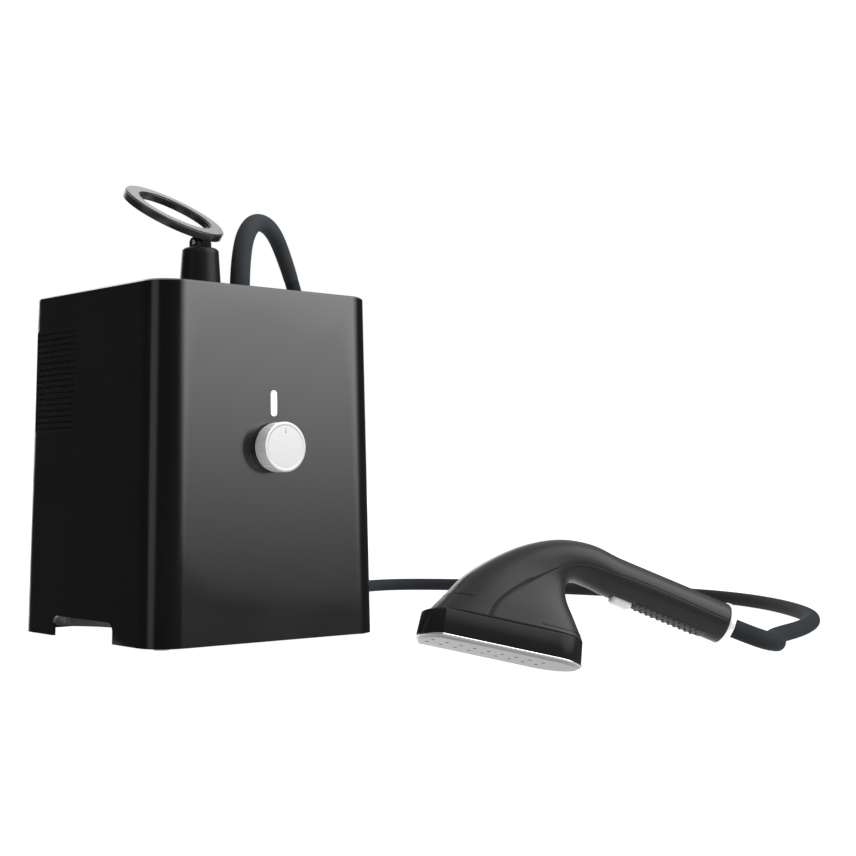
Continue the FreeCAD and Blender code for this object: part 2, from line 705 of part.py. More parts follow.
def pump_mount():
    half = PUMP_W / 2 + PUMP_MOUNT_OUT
    block = box(-half, half, -half, half, FLOOR_Z, FLOOR_Z + PUMP_MOUNT_H)
    block.translate(Vector(PUMP_X, BOILER_Y, 0))
    return block


def bent_path(points, radius=None):
    """Straight runs joined by tangent arcs. With no radius each arc is as large as its runs allow."""
    points = [Vector(*p) for p in points]
    edges = []
    radii = []
    start = points[0]
    for before, corner, after in zip(points, points[1:], points[2:]):
        inward = (before - corner).normalize()
        onward = (after - corner).normalize()
        half_turn = (math.pi - inward.getAngle(onward)) / 2
        shorter = min((before - corner).Length, (after - corner).Length)
        bend = radius or ARC_SHARE * shorter / math.tan(half_turn)
        reach = bend * math.tan(half_turn)
        a = corner + inward * reach
        b = corner + onward * reach
        middle = (inward + onward).normalize()
        apex = corner + middle * (bend / math.cos(half_turn) - bend)
        edges.append(Part.makeLine(start, a))
        edges.append(Part.Arc(a, apex, b).toShape())
        radii.append(bend)
        start = b
    edges.append(Part.makeLine(start, points[-1]))
    return Part.Wire(edges), radii


def swept(path, radius, end_radius=None):
    first = path.OrderedEdges[0]
    last = path.OrderedEdges[-1]
    start = first.valueAt(first.FirstParameter)
    profiles = [Part.Wire(Part.Circle(start, first.tangentAt(first.FirstParameter), radius).toShape())]
    if end_radius:
        end = last.valueAt(last.LastParameter)
        ring = Part.Circle(end, last.tangentAt(last.LastParameter), end_radius)
        profiles.append(Part.Wire(ring.toShape()))
    return path.makePipeShell(profiles, True, False)


def tube(points, radius, wall, bend):
    path, _ = bent_path(points, bend)
    return swept(path, radius).cut(swept(path, radius - wall))


def suction_tube():
    """From the tank's probe to the pump's rear port."""
    start = TANK_FRONT - TANK_PLAY - BAY_T - PROBE_OUT
    end = BOILER_Y + PUMP_W / 2
    turn_y = (start + end) / 2
    path = [(0, start, TUBE_Z), (0, turn_y, TUBE_Z), (PUMP_X, turn_y, TUBE_Z), (PUMP_X, end, TUBE_Z)]
    return tube(path, TUBE_R, TUBE_WALL, BEND_R)


def feed_tube():
    start = Vector(PUMP_X - PUMP_W / 2, BOILER_Y, TUBE_Z)
    end = Vector(BOILER_X + BOILER_R + STUB_OUT, BOILER_Y, TUBE_Z)
    return rod(TUBE_R, start, end).cut(rod(TUBE_R - TUBE_WALL, start, end))


def steam_tube():
    """From the valve up and across to the hose gland's tail."""
    valve_top = boiler_z() + BOILER_H + STUB_OUT + VALVE_H
    tail = INNER_TOP - GLAND_TAIL
    path = [
        (BOILER_X, BOILER_Y, valve_top), (BOILER_X, BOILER_Y, STEAM_TUBE_Z),
        (GLAND_X, 0, STEAM_TUBE_Z), (GLAND_X, 0, tail),
    ]
    return tube(path, TUBE_R, TUBE_WALL, BEND_R)


def board_places():
    x, z = BOARD_W / 2 - 2 * POST_R_BOARD, BOARD_H / 2 - 2 * POST_R_BOARD
    return [(BOARD_X + sx * x, BOARD_Z + sz * z) for sx in (-1, 1) for sz in (-1, 1)]


def board_posts():
    wall = TANK_FRONT - TANK_PLAY - BAY_T
    off = Vector(0, -BOARD_OFF, 0)
    starts = [Vector(x, wall, z) for x, z in board_places()]
    return Part.Compound([rod(POST_R_BOARD, start, start + off) for start in starts])


def control_board():
    """Board on the bulkhead's posts, with three tall parts on it."""
    back = TANK_FRONT - TANK_PLAY - BAY_T - BOARD_OFF
    front = back - BOARD_T
    board = box(-BOARD_W / 2, BOARD_W / 2, front, back, -BOARD_H / 2, BOARD_H / 2)
    step = BOARD_H / 4
    for z in (-step, 0, step):
        board = board.fuse(box(-CHIP_H, CHIP_H, front - CHIP_H, front, z - CHIP_H / 2, z + CHIP_H / 2))
    board = board.removeSplitter()
    board.translate(Vector(BOARD_X, 0, BOARD_Z))
    return board


def mains_inlet():
    """Appliance inlet low in the rear wall: flanged box with three flat pins in its recess."""
    flange = inlet_block(INLET_FLANGE, 0, INLET_FLANGE_T)
    body = inlet_block(0, -INLET_DEEP, 0)
    recess = inlet_block(-INLET_WALL, -INLET_DEEP + INLET_WALL, INLET_FLANGE_T)
    inlet = flange.fuse(body).cut(recess)
    for k, up in ((-1, -1), (0, 1), (1, -1)):
        half, high = INLET_PIN_T / 2, INLET_PIN_W / 2
        pin = box(-half, half, -high, high, -INLET_DEEP + INLET_WALL, -INLET_WALL)
        pin.translate(Vector(-INLET_X + k * INLET_PIN_X, up * INLET_PIN_Z, 0))
        inlet = inlet.fuse(placed(pin, REAR_INLET))
    return inlet.removeSplitter()


def post_collar():
    edge = POST_EDGE / 2
    ring = turned([
        (STEM_R, 0), (COLLAR_R, 0), (COLLAR_R, COLLAR_H - edge), (COLLAR_R - edge, COLLAR_H),
        (STEM_R, COLLAR_H),
    ])
    ring.translate(Vector(0, 0, BASE_H))
    return ring


def rest_post():
    """Tapered post with a stem through the top and a fork for the ring's lug."""
    top = COLLAR_H + POST_H
    foot = -WALL - STEM_L
    shoulder = POST_TOP_R + POST_EDGE * (POST_R - POST_TOP_R) / POST_H
    post = turned([
        (0, foot), (STEM_R, foot), (STEM_R, COLLAR_H), (POST_R, COLLAR_H), (shoulder, top - POST_EDGE),
        (POST_TOP_R - POST_EDGE, top), (0, top),
    ])
    pin = top + PIN_UP
    half = LUG_W / 2 + GAP
    for x in (-half - EAR_T, half):
        ear = Part.makeCylinder(EAR_R, EAR_T, Vector(x, 0, pin), Vector(1, 0, 0))
        ear = ear.fuse(box(x, x + EAR_T, -EAR_R, EAR_R, top - POST_EDGE, pin))
        post = post.fuse(ear)
    relief = Part.makeCylinder(EAR_R + 2 * GAP, 2 * half, Vector(-half, 0, pin), Vector(1, 0, 0))
    post = post.cut(relief)
    reach = half + EAR_T
    post = post.cut(Part.makeCylinder(PIN_R, 2 * reach, Vector(-reach, 0, pin), Vector(1, 0, 0)))
    return placed(post.removeSplitter(), Placement(Vector(0, 0, BASE_H), FORK))


def post_nut():
    low = Vector(0, 0, INNER_TOP - STEM_NUT_T)
    high = Vector(0, 0, INNER_TOP)
    return rod(STEM_NUT_R, low, high).cut(rod(STEM_R, low, high))


def ring_pin():
    reach = LUG_W / 2 + GAP + EAR_T
    pin = rod(PIN_R, Vector(-reach, 0, 0), Vector(reach, 0, 0))
    return placed(pin, Placement(Vector(0, 0, PIN_Z), FORK))


RING_FRAME = Placement(Vector(0, 0, PIN_Z), FORK.multiply(Rotation(Vector(1, 0, 0), RING_TILT)))


def rest_ring():
    """Flat ring with a lug below it, swung up to the rear about the pin."""
    low, high = RING_UP - RING_T / 2, RING_UP + RING_T / 2 - RING_FACE_T
    centre = Vector(0, RING_REACH, low)
    ring = Part.makeCylinder(RING_R, high - low, centre)
    lug = Part.makeCylinder(EAR_R, LUG_W, Vector(-LUG_W / 2, 0, 0), Vector(1, 0, 0))
    neck = box(-LUG_W / 2, LUG_W / 2, -EAR_R, EAR_R, 0, RING_UP)
    ring = ring.fuse(lug).fuse(neck)
    ring = ring.cut(Part.makeCylinder(RING_HOLE_R, RING_T, centre))
    ring = ring.cut(Part.makeCylinder(PIN_R + RUN_FIT, LUG_W, Vector(-LUG_W / 2, 0, 0), Vector(1, 0, 0)))
    return placed(ring.removeSplitter(), RING_FRAME)


def ring_face():
    """Satin metal facing let onto the ring's upper side."""
    centre = Vector(0, RING_REACH, RING_UP + RING_T / 2 - RING_FACE_T)
    plate = Part.makeCylinder(RING_R - RING_FACE_IN, RING_FACE_T, centre)
    plate = plate.cut(Part.makeCylinder(RING_HOLE_R + RING_FACE_IN, RING_FACE_T, centre))
    return placed(plate, RING_FRAME)


def hose_gland():
    """Threaded gland through the top, with a low round nut outside."""
    foot = -WALL - GLAND_TAIL
    gland = turned([
        (HOSE_BORE_R, foot), (GLAND_TAIL_R, foot), (GLAND_TAIL_R, 0), (GLAND_R, 0),
        (GLAND_R, GLAND_T - TOP_EDGE), (GLAND_R - TOP_EDGE, GLAND_T), (HOSE_BORE_R, GLAND_T),
    ])
    gland.translate(Vector(GLAND_X, 0, BASE_H))
    return gland


def plan_outline(z, inset):
    """Plan of the steam head: straight sides between a blunt toe and a long rounded heel."""
    half = HEAD_W / 2 - inset
    toe, heel = HEAD_HALF + TOE - inset, -HEAD_HALF - HEEL + inset
    near = [Vector(-HEAD_HALF, half, z), Vector(HEAD_HALF, half, z)]
    far = [Vector(HEAD_HALF, -half, z), Vector(-HEAD_HALF, -half, z)]
    return Part.Wire([
        Part.makeLine(near[0], near[1]), Part.Arc(near[1], Vector(toe, 0, z), far[0]).toShape(),
        Part.makeLine(far[0], far[1]), Part.Arc(far[1], Vector(heel, 0, z), near[0]).toShape(),
    ])


def plan_block(z0, z1, inset0, inset1):
    return Part.makeLoft([plan_outline(z0, inset0), plan_outline(z1, inset1)], True, True)


HANDLE_FRAME = Placement(Vector(HANDLE_END[0], 0, HANDLE_END[1]), Rotation(Vector(0, 1, 0), -HANDLE_SLOPE))


def station(rear, front, width, square, inset):
    """Closed section in two halves between a rear and a front point, from ellipse to rounded box."""
    across = (front - rear) / 2
    length = across.Length - inset
    across.normalize()
    middle = (rear + front) / 2
    halves = []
    for side in (0, 1):
        points = []
        for k in range(HOOK_POINTS + 1):
            angle = math.pi * (side + k / HOOK_POINTS)
            c, s = math.cos(angle), math.sin(angle)
            u = math.copysign(abs(c) ** square, c) * length
            v = math.copysign(abs(s) ** square, s) * (width / 2 - inset)
            points.append(middle + across * u + Vector(0, v, 0))
        curve = Part.BSplineCurve()
        curve.interpolate(Points=points)
        halves.append(curve.toShape())
    return Part.Wire(halves)


def handle_station(along, inset):
    rear = HANDLE_FRAME.multVec(Vector(along, 0, -HANDLE_R))
    front = HANDLE_FRAME.multVec(Vector(along, 0, HANDLE_R))
    return station(rear, front, 2 * HANDLE_R, 1.0, inset)


def hook_body(inset, ruled):
    """Head and neck as a loft from the band's top, then the handle straight on to its open end."""
    wires = []
    for k, (x0, z0, x1, z1, width) in enumerate(HOOK):
        square = HOOK_SQUARE + (1 - HOOK_SQUARE) * k / (len(HOOK) - 1)
        wires.append(station(Vector(x0, 0, z0), Vector(x1, 0, z1), width, square, inset))
    neck = handle_station(HANDLE_LONG, inset)
    hook = Part.makeLoft(wires + [neck], True, ruled, False, LOFT_DEGREE)
    down = HANDLE_FRAME.Rotation.multVec(Vector(-HANDLE_LONG, 0, 0))
    return hook.fuse(Part.Face(neck).extrude(down))


OUTER_BODY = hook_body(0.0, False)
INNER_BODY = hook_body(SHELL, True)


def front_side():
    """Everything on the upper and front side of the seam between the two shells."""
    far = 2 * HANDLE_LONG
    start = HANDLE_FRAME.multVec(Vector(-far, 0, 0))
    neck = HANDLE_FRAME.multVec(Vector(HANDLE_LONG, 0, 0))
    outline = [(start.x, start.z), (neck.x, neck.z)] + SEAM
    return prism(outline + [(far, 0.0), (far, far), (start.x, far)], HEAD_W)


def trigger_block(grow, low, high):
    block = rounded_block(TRIGGER_L / 2 + grow, TRIGGER_W / 2 + grow, TRIGGER_EDGE, low, high)
    block.translate(Vector(TRIGGER_AT + TRIGGER_L / 2, 0, 0))
    return placed(block, HANDLE_FRAME)


def hook_shell():
    return OUTER_BODY.cut(INNER_BODY)


def front_shell():
    return hook_shell().common(front_side())


def rear_shell():
    shell = hook_shell().cut(front_side())
    return shell.cut(trigger_block(GAP, -2 * HANDLE_R, 0))


def head_band():
    """Gloss skirt of the head: a cup with a deck that carries the two shells."""
    low = SOLE_T + RIM_T
    cup = plan_block(low, BAND_TOP, 0.0, BAND_LEAN)
    cup = cup.cut(plan_block(low, BAND_TOP - BAND_WALL, BAND_WALL, BAND_WALL + BAND_LEAN))
    x, _, _ = pipe_points()[-1]
    return cup.cut(rod(PIPE_R + GAP, Vector(x, 0, BAND_TOP - BAND_WALL), Vector(x, 0, BAND_TOP)))


def sole_rim():
    """Bright line between the sole and the band."""
    top = SOLE_T + RIM_T
    return plan_block(SOLE_T, top, -RIM_PROUD, -RIM_PROUD).cut(plan_block(SOLE_T, top, RIM_W, RIM_W))


def sole_plate():
    """Bevelled sole with two rows of steam holes."""
    plate = plan_block(0, SOLE_T, SOLE_BEVEL, RIM_PROUD)
    count = int(HEAD_HALF / SOLE_PITCH)
    for k in range(-count, count + 1):
        for y in (-SOLE_ROW / 2, SOLE_ROW / 2):
            hole = Vector(k * SOLE_PITCH, y, 0)
            plate = plate.cut(rod(SOLE_HOLE_R, hole, hole + Vector(0, 0, SOLE_T)))
    return plate


def steam_chamber():
    """Cast chamber on the sole, hollow towards it, fed by the pipe from above."""
    top = SOLE_T + CHAMBER_H
    block = plan_block(SOLE_T, top, CHAMBER_IN, CHAMBER_IN)
    block = block.cut(plan_block(SOLE_T, top - SHELL, CHAMBER_IN + SHELL, CHAMBER_IN + SHELL))
    x, _, _ = pipe_points()[-1]
    return block.cut(rod(PIPE_R - PIPE_WALL, Vector(x, 0, SOLE_T), Vector(x, 0, top)))


def pipe_points():
    """Route of the inner steam pipe from the ferrule over the trigger switch to the chamber."""
    along = FERRULE_IN + GAP
    lifted = TRIGGER_AT - CARRIER_T
    local = [(along, 0), (along + 2 * PIPE_BEND, 0), (lifted, PIPE_LIFT), (HANDLE_LONG, PIPE_LIFT)]
    points = [tuple(HANDLE_FRAME.multVec(Vector(x, 0, z))) for x, z in local]
    for k in PIPE_STATIONS:
        x0, z0, x1, z1, _ = HOOK[k]
        points.append(((x0 + x1) / 2, 0, (z0 + z1) / 2))
    points.append((points[-1][0], 0, SOLE_T + CHAMBER_H))
    return points


def steam_pipe():
    return tube(pipe_points(), PIPE_R, PIPE_WALL, PIPE_BEND)


def trigger():
    """Rounded push piece through the underside of the handle, with a flange inside."""
    inner = HANDLE_R - SHELL
    half = TRIGGER_W / 2 + TRIGGER_FLANGE
    seat = -math.sqrt(inner ** 2 - half ** 2) + GAP
    body = trigger_block(0, -HANDLE_R - TRIGGER_PROUD, seat + TRIGGER_FLANGE_T)
    flange = trigger_block(TRIGGER_FLANGE, seat, seat + TRIGGER_FLANGE_T)
    return body.fuse(flange).removeSplitter()


def switch_carrier():
    """Trigger switch, held between the inner walls of the handle just past the trigger's travel."""
    inner = HANDLE_R - SHELL
    half = TRIGGER_W / 2 + TRIGGER_FLANGE
    low = -math.sqrt(inner ** 2 - half ** 2) + 2 * GAP + TRIGGER_FLANGE_T + TRIGGER_TRAVEL
    middle = TRIGGER_AT + TRIGGER_L / 2
    block = box(middle - CARRIER_L / 2, middle + CARRIER_L / 2, -HANDLE_R, HANDLE_R, low, low + CARRIER_T)
    return placed(block, HANDLE_FRAME).common(INNER_BODY)


def grip_pad():
    """Soft strip along the underside of the handle, with staggered rows of round nubs."""
    reach = 2 * HANDLE_R
    pad = Part.makeCylinder(HANDLE_R + PAD_PROUD, PAD_L, Vector(PAD_AT, 0, 0), Vector(1, 0, 0))
    pad = pad.common(box(0, HANDLE_LONG, -PAD_W / 2, PAD_W / 2, -reach, 0))
    nubs = []
    for row, turn in enumerate(NUB_TURNS):
        out = Rotation(Vector(1, 0, 0), turn).multVec(Vector(0, 0, -1))
        start = PAD_AT + NUB_PITCH * (1 + row % 2) / 2
        for k in range(int(PAD_L / NUB_PITCH) - 1):
            foot = Vector(start + NUB_PITCH * (k + 1 / 2), 0, 0) + out * HANDLE_R
            nubs.append(Part.makeCylinder(NUB_R, NUB_PROUD, foot, out))
    return placed(pad.fuse(nubs), HANDLE_FRAME).cut(OUTER_BODY).removeSplitter()


ALONG_HANDLE = HANDLE_FRAME.multiply(Placement(Vector(), Rotation(Vector(0, 1, 0), 90)))


def end_ring():
    bore = FERRULE_R + GAP
    edge = END_RING_EDGE
    ring = turned([
        (bore, -END_RING_T), (END_RING_R - edge, -END_RING_T), (END_RING_R, edge - END_RING_T),
        (END_RING_R, 0), (bore, 0),
    ])
    return placed(ring, ALONG_HANDLE)


def swivel_bush():
    """Bearing bush in the handle's end, round the ferrule."""
    length = FERRULE_IN - FERRULE_FLANGE_T - GAP
    core = Part.makeCylinder(HANDLE_R, length)
    bore = Part.makeCylinder(FERRULE_R + RUN_FIT, length)
    return placed(core, ALONG_HANDLE).common(INNER_BODY).cut(placed(bore, ALONG_HANDLE))


def hose_ferrule():
    """End fitting of the hose, held in the bush by its inner flange and free to turn there."""
    bore = HOSE_BORE_R
    flange = FERRULE_IN - FERRULE_FLANGE_T
    ferrule = turned([
        (bore, -FERRULE_OUT), (FERRULE_R, -FERRULE_OUT), (FERRULE_R, flange), (FERRULE_FLANGE_R, flange),
        (FERRULE_FLANGE_R, FERRULE_IN), (bore, FERRULE_IN),
    ])
    return placed(ferrule, ALONG_HANDLE)


def hand_frame():
    """The hand steamer tipped on the far end of its heel, with the sole's lowest edge on the floor."""
    turn = Rotation(UP, HEADING).multiply(Rotation(Vector(0, 1, 0), -TOE_UP))
    turn = turn.multiply(Rotation(Vector(1, 0, 0), ROLL))
    tipped = placed(sole_plate(), Placement(Vector(), turn))
    return Placement(Vector(HAND_X, HAND_Y, -tipped.optimalBoundingBox().ZMin), turn)


HAND_FRAME = hand_frame()


def hose_points():
    """Route of the hose's centre from the gland to the handle's end."""
    leave = HAND_FRAME.multiply(ALONG_HANDLE)
    start = (GLAND_X, 0, BASE_H + GLAND_T)
    floor = [(x, y, HOSE_R) for x, y in HOSE_FLOOR]
    ends = [tuple(leave.multVec(Vector(0, 0, -FERRULE_OUT - run))) for run in (HOSE_LEAVE, 0)]
    return [start] + HOSE_ARCH + floor + HOSE_RISE + ends


def steam_hose():
    path, radii = bent_path(hose_points())
    hose = swept(path, HOSE_R).cut(swept(path, HOSE_BORE_R))
    section = math.pi * (HOSE_R ** 2 - HOSE_BORE_R ** 2)
    print("hose length", round(path.Length), "least radius", round(min(radii), 1))
    print("hose volume over section times length", round(hose.Volume / section / path.Length, 4))
    return hose


def bend_guard():
    """Tapered sleeve round the first stretch of the hose."""
    path, _ = bent_path(hose_points())
    covered = Part.Wire(path.OrderedEdges[:2 * GUARD_RUNS])
    return swept(covered, GUARD_R, GUARD_END_R).cut(swept(covered, HOSE_R))


BASE_PIECES = [
    outer_shell, base_plate, foot_pads, base_screws, control_knob, knob_face, knob_shaft, rotary_switch,
    switch_nut, light_bar, lamp_board, water_tank, tank_cap, port_bush, tank_bay, tank_probe, boiler,
    boiler_stand, heater, steam_valve, pump, pump_mount, suction_tube, feed_tube, steam_tube, board_posts,
    control_board, mains_inlet, post_collar, rest_post, post_nut, ring_pin, rest_ring, ring_face,
    hose_gland, bend_guard, steam_hose,
]
HAND_PIECES = [
    front_shell, rear_shell, head_band, sole_rim, sole_plate, steam_chamber, steam_pipe, trigger,
    switch_carrier, grip_pad, end_ring, swivel_bush, hose_ferrule,
]


def main():
    os.makedirs("parts", exist_ok=True)
    shapes = {make.__name__: make() for make in BASE_PIECES}
    for side in SIDES:
        shapes[f"vent_grille_{side}"] = vent_grille(side)
    for make in HAND_PIECES:
        shapes[make.__name__] = placed(make(), HAND_FRAME)
    for name, shape in shapes.items():
        if not shape.isValid() or shape.Volume <= 0:
            print("check", name, shape.isValid(), shape.Volume)
        shape.exportStep(f"parts/{name}.step")


main()
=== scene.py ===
# %% [markdown]
# # A tabletop garment steamer
# A black box makes steam, a smooth hose carries it to a hand steamer that lies in front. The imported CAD
# model is the fixed frame: every piece made here is in metres in that same frame, with +Z up and the knob
# looking along -Y. The lesson goes from camera and light to finishes and then piece by piece.

# %% Load the frame
import bmesh
import bpy
import json
import math
import numpy as np
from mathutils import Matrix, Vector

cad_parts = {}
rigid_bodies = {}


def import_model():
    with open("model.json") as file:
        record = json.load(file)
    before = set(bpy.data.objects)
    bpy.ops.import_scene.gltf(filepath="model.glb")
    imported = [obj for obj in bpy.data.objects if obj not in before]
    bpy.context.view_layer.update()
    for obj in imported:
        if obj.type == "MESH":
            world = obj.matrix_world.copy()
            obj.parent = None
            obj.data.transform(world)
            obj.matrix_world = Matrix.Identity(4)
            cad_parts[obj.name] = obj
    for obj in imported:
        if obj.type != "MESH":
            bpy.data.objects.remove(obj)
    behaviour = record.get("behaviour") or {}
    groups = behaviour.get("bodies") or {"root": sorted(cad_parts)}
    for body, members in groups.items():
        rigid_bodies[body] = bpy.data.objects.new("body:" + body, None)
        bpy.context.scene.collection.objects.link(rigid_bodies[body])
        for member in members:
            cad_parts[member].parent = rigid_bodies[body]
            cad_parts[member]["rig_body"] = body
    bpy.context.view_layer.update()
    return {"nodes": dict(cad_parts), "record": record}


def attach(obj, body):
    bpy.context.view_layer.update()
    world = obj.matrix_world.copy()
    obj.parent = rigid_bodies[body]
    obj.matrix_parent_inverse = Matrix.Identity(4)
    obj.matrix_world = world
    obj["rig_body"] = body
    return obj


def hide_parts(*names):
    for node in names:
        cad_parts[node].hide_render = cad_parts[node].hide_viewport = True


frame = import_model()
MM = 0.001

# %% [markdown]
# ## Camera
# The photograph was taken from the left of the front, a little below the middle of the box. The camera's
# place, turn and focal length were worked out from the box's edges, so nothing is shifted or cropped.

# %% Camera
CAMERA_PLACE = (-0.8146, -1.2466, 0.1443)
CAMERA_YAW = 0.727
CAMERA_PITCH = 0.035
FOCAL_SHARE = 1531.64 / 856       # focal length in picture widths
SENSOR = 36.0

camera_data = bpy.data.cameras.new("camera")
camera_data.sensor_width = SENSOR
camera_data.lens = SENSOR * FOCAL_SHARE
camera = bpy.data.objects.new("camera", camera_data)
camera.location = CAMERA_PLACE
camera.rotation_euler = (math.pi / 2 + CAMERA_PITCH, 0, -CAMERA_YAW)
bpy.context.scene.collection.objects.link(camera)
bpy.context.scene.camera = camera
bpy.context.scene.view_settings.view_transform = "Standard"
print("lens", round(camera_data.lens, 1), "mm")

# %% [markdown]
# ## Shader sums
# Light and finishes are sums of glows, clouds, grain and rings. One small class wraps a node's output,
# so that such a sum can be written as a Python expression: each operator adds its Math node.

# %% Shader sums


class Wire:
    """One output of a node. Adding, taking or multiplying adds a Math node."""

    def __init__(self, nodes, socket):
        self.nodes = nodes
        self.socket = socket

    def _sum(self, operation, first, second):
        """A Math node on two numbers or wires."""
        return self.nodes.node("ShaderNodeMath", {"operation": operation}, {0: first, 1: second})

    def __add__(self, other):
        return self._sum("ADD", self, other)

    def __sub__(self, other):
        return self._sum("SUBTRACT", self, other)

    def __rsub__(self, other):
        return self._sum("SUBTRACT", other, self)

    def __mul__(self, other):
        return self._sum("MULTIPLY", self, other)

    __radd__ = __add__
    __rmul__ = __mul__


class Nodes:
    """A node tree: every node is made by one method, from its type, settings and sockets."""

    def __init__(self, tree):
        self.tree = tree

    def node(self, kind, settings=None, sockets=None, output=0):
        """One output of a new node, with its settings made and its sockets fed."""
        made = self.tree.nodes.new(kind)
        for key, value in (settings or {}).items():
            setattr(made, key, value)
        for key, value in (sockets or {}).items():
            self.feed(made.inputs[key], value)
        return Wire(self, made.outputs[output])

    def feed(self, target, value):
        """A wire is linked to a socket, any other value is set on it."""
        if isinstance(value, Wire):
            self.tree.links.new(value.socket, target)
        else:
            target.default_value = value


class Finish(Nodes):
    """A material with one Principled shader, whose sockets take numbers, colours or wires."""

    def __init__(self, name, **sockets):
        self.name = name
        self.material = bpy.data.materials.new(name)
        self.material.use_nodes = True
        super().__init__(self.material.node_tree)
        self.shader = self.tree.nodes["Principled BSDF"]
        self.place = self.node("ShaderNodeTexCoord", output="Object")
        self.set(**sockets)

    def set(self, **sockets):
        """Values for the shader's sockets; an underscore stands for a space."""
        for key, value in sockets.items():
            self.feed(self.shader.inputs[key.replace("_", " ")], value)
        return self

    def noise(self, scale, detail=2.0, place=None):
        """Noise over places in the piece's own frame."""
        sockets = {"Vector": place or self.place, "Scale": scale, "Detail": detail}
        return self.node("ShaderNodeTexNoise", {}, sockets, "Fac")

    def mix(self, factor, first, second):
        """The first colour at factor 0, the second at factor 1."""
        sockets = {0: factor, 6: (*first, 1), 7: (*second, 1)}
        return self.node("ShaderNodeMix", {"data_type": "RGBA"}, sockets, 2)

    def bump(self, height, strength, depth):
        """Normals that lean with the slope of a height."""
        sockets = {"Height": height, "Strength": strength, "Distance": depth}
        return self.set(Normal=self.node("ShaderNodeBump", {}, sockets))


def shade(colour, share):
    """Every channel of a colour times a share."""
    return tuple(channel * share for channel in colour)


# %% [markdown]
# ## Studio
# The object is satin black, so nearly all that the eye sees of it is what it reflects. The studio is
# painted into the world as soft glows: a large one to the right of the front that fades towards the
# floor, a narrow one on the left, a pale wall behind, a broad one overhead and one below the horizon.
# The camera itself sees plain white. The floor is a pale sheet that the object doesn't mirror.

# %% Studio
FLOOR_HALF = 30.0
FLOOR_GREY = (0.10, 0.10, 0.10, 1)
FLOOR_GLOW = 0.98
FLOOR_ROUGH, FLOOR_DRIFT = 0.9, 0.1
WHITE = (1, 1, 1, 1)
# direction, edge and core of the glow as cosines of the angle from it, brightness
GLOWS = [
    ((0.57, -0.75, 0.60), 0.78, 0.98, 6.0),
    ((-1.0, -0.06, 0.12), 0.95, 0.99, 0.8),
    ((0.36, 0.93, 0.10), 0.80, 0.96, 2.4),
    ((0.0, 0.0, 1.0), 0.30, 0.80, 1.3),
    ((0.0, 0.0, -1.0), 0.14, 0.60, 1.5),
]
DIM = 0.05

world = bpy.data.worlds.new("studio")
bpy.context.scene.world = world
world.use_nodes = True
sky = Nodes(world.node_tree)
look = sky.node("ShaderNodeTexCoord", output="Generated")
light = DIM
for towards, edge, core, bright in GLOWS:
    aim = tuple(np.array(towards) / np.linalg.norm(towards))
    near = sky.node("ShaderNodeVectorMath", {"operation": "DOT_PRODUCT"}, {0: look, 1: aim}, "Value")
    light = light + sky.node(
        "ShaderNodeMapRange", {"interpolation_type": "SMOOTHSTEP"},
        {"Value": near, "From Min": edge, "From Max": core, "To Max": bright})
seen = sky.node("ShaderNodeLightPath", output="Is Camera Ray")
background = world.node_tree.nodes["Background"].inputs
sky.feed(background["Color"], WHITE)
sky.feed(background["Strength"], seen * (1 - light) + light)

floor_mesh = bpy.data.meshes.new("floor")
corners = np.array([(-1, -1, 0), (1, -1, 0), (1, 1, 0), (-1, 1, 0)]) * FLOOR_HALF
floor_mesh.from_pydata(corners.tolist(), [], [(0, 1, 2, 3)])
floor = bpy.data.objects.new("floor", floor_mesh)
bpy.context.scene.collection.objects.link(floor)
floor.visible_glossy = False
pale = Finish("floor_pale", Base_Color=FLOOR_GREY, Emission_Color=WHITE, Emission_Strength=FLOOR_GLOW)
pale.set(Roughness=pale.noise(scale=3.0) * FLOOR_DRIFT + FLOOR_ROUGH)
floor_mesh.materials.append(pale.material)
print(len(GLOWS), "glows")

# %% [markdown]
# ## Finishes
# Moulded plastic has a fine spark grain and a slow cloud of handling gloss. Turned metal has rings about
# its axis, drawn metal has lines along its length, and rubber is duller with a coarser skin.

# %% Finishes


def varied(finish, mask, colour, shares, rough, spread):
    """Colour between two shares of itself, and roughness over a spread, both following a mask."""
    low, high = shares
    finish.set(Base_Color=finish.mix(mask, shade(colour, low), shade(colour, high)))
    finish.set(Roughness=mask * spread + (rough - spread / 2))


def moulded(name, colour, rough, grain=2600.0, depth=0.00002, cloud=14.0, **sockets):
    """Plastic: colour and roughness drift with a slow cloud, and a fine grain lifts the surface."""
    finish = Finish(name, **sockets)
    drift = finish.noise(cloud, detail=3.0)
    varied(finish, drift, colour, shares=(0.86, 1.14), rough=rough, spread=0.10)
    return finish.bump(finish.noise(grain), strength=0.25, depth=depth)


def rubbery(name, colour, rough=0.62, grain=900.0, depth=0.00005, shine=0.35):
    """Soft rubber: matt, with a coarse skin and dusty drift of colour."""
    finish = Finish(name, Specular_IOR_Level=shine)
    drift = finish.noise(scale=40.0, detail=4.0)
    varied(finish, drift, colour, shares=(0.8, 1.25), rough=rough, spread=0.16)
    return finish.bump(finish.noise(grain, detail=3.0), strength=0.3, depth=depth)


def drawn(name, colour, rough, stretch, depth=0.00001, lines=3000.0, metal=1.0):
    """Metal with fine lines: noise that is squeezed across the lines and long along them."""
    finish = Finish(name, Metallic=metal)
    along = finish.node("ShaderNodeMapping", {}, {"Vector": finish.place, "Scale": stretch})
    streak = finish.noise(lines, place=along)
    varied(finish, streak, colour, shares=(0.88, 1.06), rough=rough, spread=0.16)
    return finish.bump(streak, strength=0.12, depth=depth)


